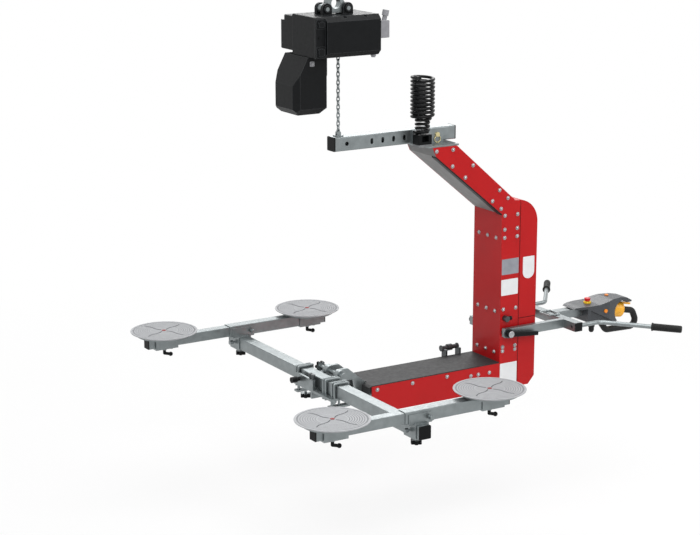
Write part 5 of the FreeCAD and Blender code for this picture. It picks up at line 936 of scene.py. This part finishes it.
def cover_seams():
    shape = bmesh.new()
    strips = (
        ((SEAM_X - SEAM_WIDTH / 2, SEAM_BOTTOM), (SEAM_X + SEAM_WIDTH / 2, SEAM_TOP)),
        ((SEAM_X, SEAM_CROSS_Z - SEAM_WIDTH / 2), (SEAM_REAR, SEAM_CROSS_Z + SEAM_WIDTH / 2)),
    )
    for side in (-1, 1):
        for low, high in strips:
            outline = rounded_outline(low, high, (SEAM_DEPTH,) * 4)
            prism(shape, [(x, -side * PLATE_Y, z) for x, z in outline], (0, side * SEAM_DEPTH, 0))
    mesh_object("cover_seams", shape, "frame", "black_plastic", FINISHES["seam_dark"])


def wire_bow():
    shape = bmesh.new()
    bent_rod(shape, [Vector((x, y, BOW_Z)) for x, y in BOW_CORNERS], BOW_RADIUS, BOW_INSET, True)
    for y in (BOW_CORNERS[0][1], BOW_CORNERS[1][1]):
        revolve(shape, BOW_FOOT, (BOW_FOOT_X, y, BOW_FOOT_Z), UP, BOLT_SEGMENTS)
    mesh_object("wire_bow", shape, "handle", "zinc_steel", FINISHES["zinc_steel"])


def stirrups():
    shape = bmesh.new()
    left, right = STIRRUP_XS
    for y in STIRRUP_YS:
        legs = ((left, STIRRUP_BOTTOM), (left, STIRRUP_TOP), (right, STIRRUP_TOP), (right, STIRRUP_BOTTOM))
        bent_rod(shape, [Vector((x, y, z)) for x, z in legs], STIRRUP_RADIUS, STIRRUP_INSET, False)
        for x in STIRRUP_XS:
            revolve(shape, STIRRUP_NUT, (x, y, STIRRUP_NUT_Z), DOWN, HEXAGON_SIDES)
    mesh_object("stirrups", shape, "tilt_head", "zinc_steel", FINISHES["zinc_steel"])


def wall_knobs():
    shape = bmesh.new()
    for y in WALL_KNOB_YS:
        revolve(shape, WALL_KNOB, (WALL_KNOB_X, y, WALL_KNOB_Z), UP, BOLT_SEGMENTS)
    # The knobs are zinc steel given the darker steel finish: painted shade
    mesh_object("wall_knobs", shape, "tilt_head", "zinc_steel", FINISHES["dark_steel"])


def turned_piece(name, profile, place, heading, body, slot, finish):
    shape = bmesh.new()
    revolve(shape, profile, place, heading, TURNED_SEGMENTS)
    bmesh.ops.remove_doubles(shape, verts=shape.verts, dist=WELD)
    mesh_object(name, shape, body, slot, FINISHES[finish])


def stepped_block(name, low, high, rounding, plane, steps, slot):
    shape = bmesh.new()
    start = 0.0
    for inset, reach in steps:
        inner_low = tuple(value + inset for value in low)
        inner_high = tuple(value - inset for value in high)
        outline = rounded_outline(inner_low, inner_high, (rounding,) * 4)
        prism(shape, [(x, plane - start, z) for x, z in outline], (0, start - reach, 0))
        start = reach
    mesh_object(name, shape, "hoist", slot, FINISHES[slot])


def pin_collars():
    shape = bmesh.new()
    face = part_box("hoist_fasteners")[1].y
    for x in (-COLLAR_X, COLLAR_X):
        for side in (-1, 1):
            revolve(shape, COLLAR_PROFILE, (x, side * face, COLLAR_Z), (0, side, 0), TURNED_SEGMENTS)
    bmesh.ops.remove_doubles(shape, verts=shape.verts, dist=WELD)
    mesh_object("pin_collars", shape, "hoist", "black_cast", FINISHES["black_cast"])


def lever_tip(carrier):
    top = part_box(carrier)[0].z + LEVER_HEIGHT
    vertices = frame["nodes"][carrier].data.vertices
    points = [vertex.co for vertex in vertices if vertex.co.z < top]
    reach = max(point.x for point in points)
    low, high = extent([point for point in points if point.x > reach - TIP_SLICE])
    middle = (low + high) / 2 - Vector((TIP_BACK, 0, 0))
    profile = [(0.0, -TIP_RADIUS)]
    for step in range(1, TIP_STEPS):
        angle = math.pi * step / TIP_STEPS
        profile.append((TIP_RADIUS * math.sin(angle), -TIP_RADIUS * math.cos(angle)))
    profile.append((0.0, TIP_RADIUS))
    body = PADS[carrier]
    turned_piece(carrier + "_tip", profile, middle, TIP_HEADING, body, "black_plastic", "black_plastic")


# Studio
def make_camera():
    data = bpy.data.cameras.new("camera")
    data.lens = LENS
    data.sensor_width = SENSOR
    data.clip_end = CLIP_END
    camera = bpy.data.objects.new("camera", data)
    scene.collection.objects.link(camera)
    camera.location = EYE
    camera.rotation_euler = Vector(GAZE).to_track_quat("-Z", "Y").to_euler()
    scene.camera = camera


# One for rays from the camera and for reflected or refracted ones, zero for the rest
def seen_directly(nodes, links):
    path = nodes.new("ShaderNodeLightPath")
    found = path.outputs["Is Camera Ray"]
    for name in ("Is Glossy Ray", "Is Transmission Ray"):
        node = nodes.new("ShaderNodeMath")
        node.operation = "MAXIMUM"
        links.new(found, node.inputs[0])
        links.new(path.outputs[name], node.inputs[1])
        found = node.outputs[0]
    return found


def make_world():
    world = bpy.data.worlds.new("studio")
    world.use_nodes = True
    scene.world = world
    nodes = world.node_tree.nodes
    links = world.node_tree.links
    nodes.clear()
    mix = nodes.new("ShaderNodeMixShader")
    links.new(seen_directly(nodes, links), mix.inputs[0])
    for strength, target in zip((WORLD_FILL, WORLD_SEEN), mix.inputs[1:]):
        node = nodes.new("ShaderNodeBackground")
        node.inputs["Strength"].default_value = strength
        node.inputs["Color"].default_value = WHITE
        links.new(node.outputs[0], target)
    links.new(mix.outputs[0], nodes.new("ShaderNodeOutputWorld").inputs["Surface"])


# Plain floor that glows toward white away from its middle
def floor_finish():
    material = bpy.data.materials.new("floor")
    material.use_nodes = True
    nodes = material.node_tree.nodes
    links = material.node_tree.links
    nodes.clear()
    plain = nodes.new("ShaderNodeBsdfDiffuse")
    plain.inputs["Color"].default_value = FLOOR_COLOUR
    glow = nodes.new("ShaderNodeEmission")
    length = nodes.new("ShaderNodeVectorMath")
    length.operation = "LENGTH"
    links.new(nodes.new("ShaderNodeTexCoord").outputs["Object"], length.inputs[0])
    rise = nodes.new("ShaderNodeMapRange")
    for index, value in enumerate(FLOOR_GLOW_REACH + FLOOR_GLOW_SHARES):
        rise.inputs[index + 1].default_value = value
    links.new(length.outputs["Value"], rise.inputs["Value"])
    share = nodes.new("ShaderNodeMath")
    share.operation = "MULTIPLY"
    links.new(rise.outputs["Result"], share.inputs[1])
    links.new(seen_directly(nodes, links), share.inputs[0])
    mix = nodes.new("ShaderNodeMixShader")
    links.new(share.outputs[0], mix.inputs[0])
    links.new(plain.outputs[0], mix.inputs[1])
    links.new(glow.outputs[0], mix.inputs[2])
    links.new(mix.outputs[0], nodes.new("ShaderNodeOutputMaterial").inputs["Surface"])
    return material


def make_floor():
    mesh = bpy.data.meshes.new("floor")
    corners = [(x * FLOOR_HALF, y * FLOOR_HALF, 0) for x, y in ((-1, -1), (1, -1), (1, 1), (-1, 1))]
    mesh.from_pydata(corners, [], [(0, 1, 2, 3)])
    mesh.materials.append(floor_finish())
    floor = bpy.data.objects.new("floor", mesh)
    scene.collection.objects.link(floor)
    floor.location = FLOOR_MIDDLE


def make_lamps():
    for name, place, aim, width, height, watts in LAMPS:
        data = bpy.data.lights.new(name, "AREA")
        data.shape = "RECTANGLE"
        data.size = width
        data.size_y = height
        data.energy = watts
        lamp = bpy.data.objects.new(name, data)
        scene.collection.objects.link(lamp)
        lamp.location = place
        lamp.rotation_euler = (Vector(aim) - Vector(place)).to_track_quat("-Z", "Y").to_euler()


# The finishes, the pieces and the studio, made in this order
FINISHES = make_finishes()
make_camera()
spiral_cable()
paint_nodes()
for carrier, pad in PADS.items():
    vacuum_pad(pad, middle_of(carrier))
frame_bolts()
handle_grips()
for name, row in LABELS.items():
    label_plate(name, *row)
dark_edge_strip()
cover_seams()
wire_bow()
stirrups()
wall_knobs()
for name, row in TURNED.items():
    turned_piece(name, *row)
for name, row in STEPPED.items():
    stepped_block(name, *row)
pin_collars()
for carrier in CARRIERS:
    lever_tip(carrier)
make_world()
make_floor()
make_lamps()
scene.view_settings.view_transform = "Standard"

bpy.context.view_layer.update()
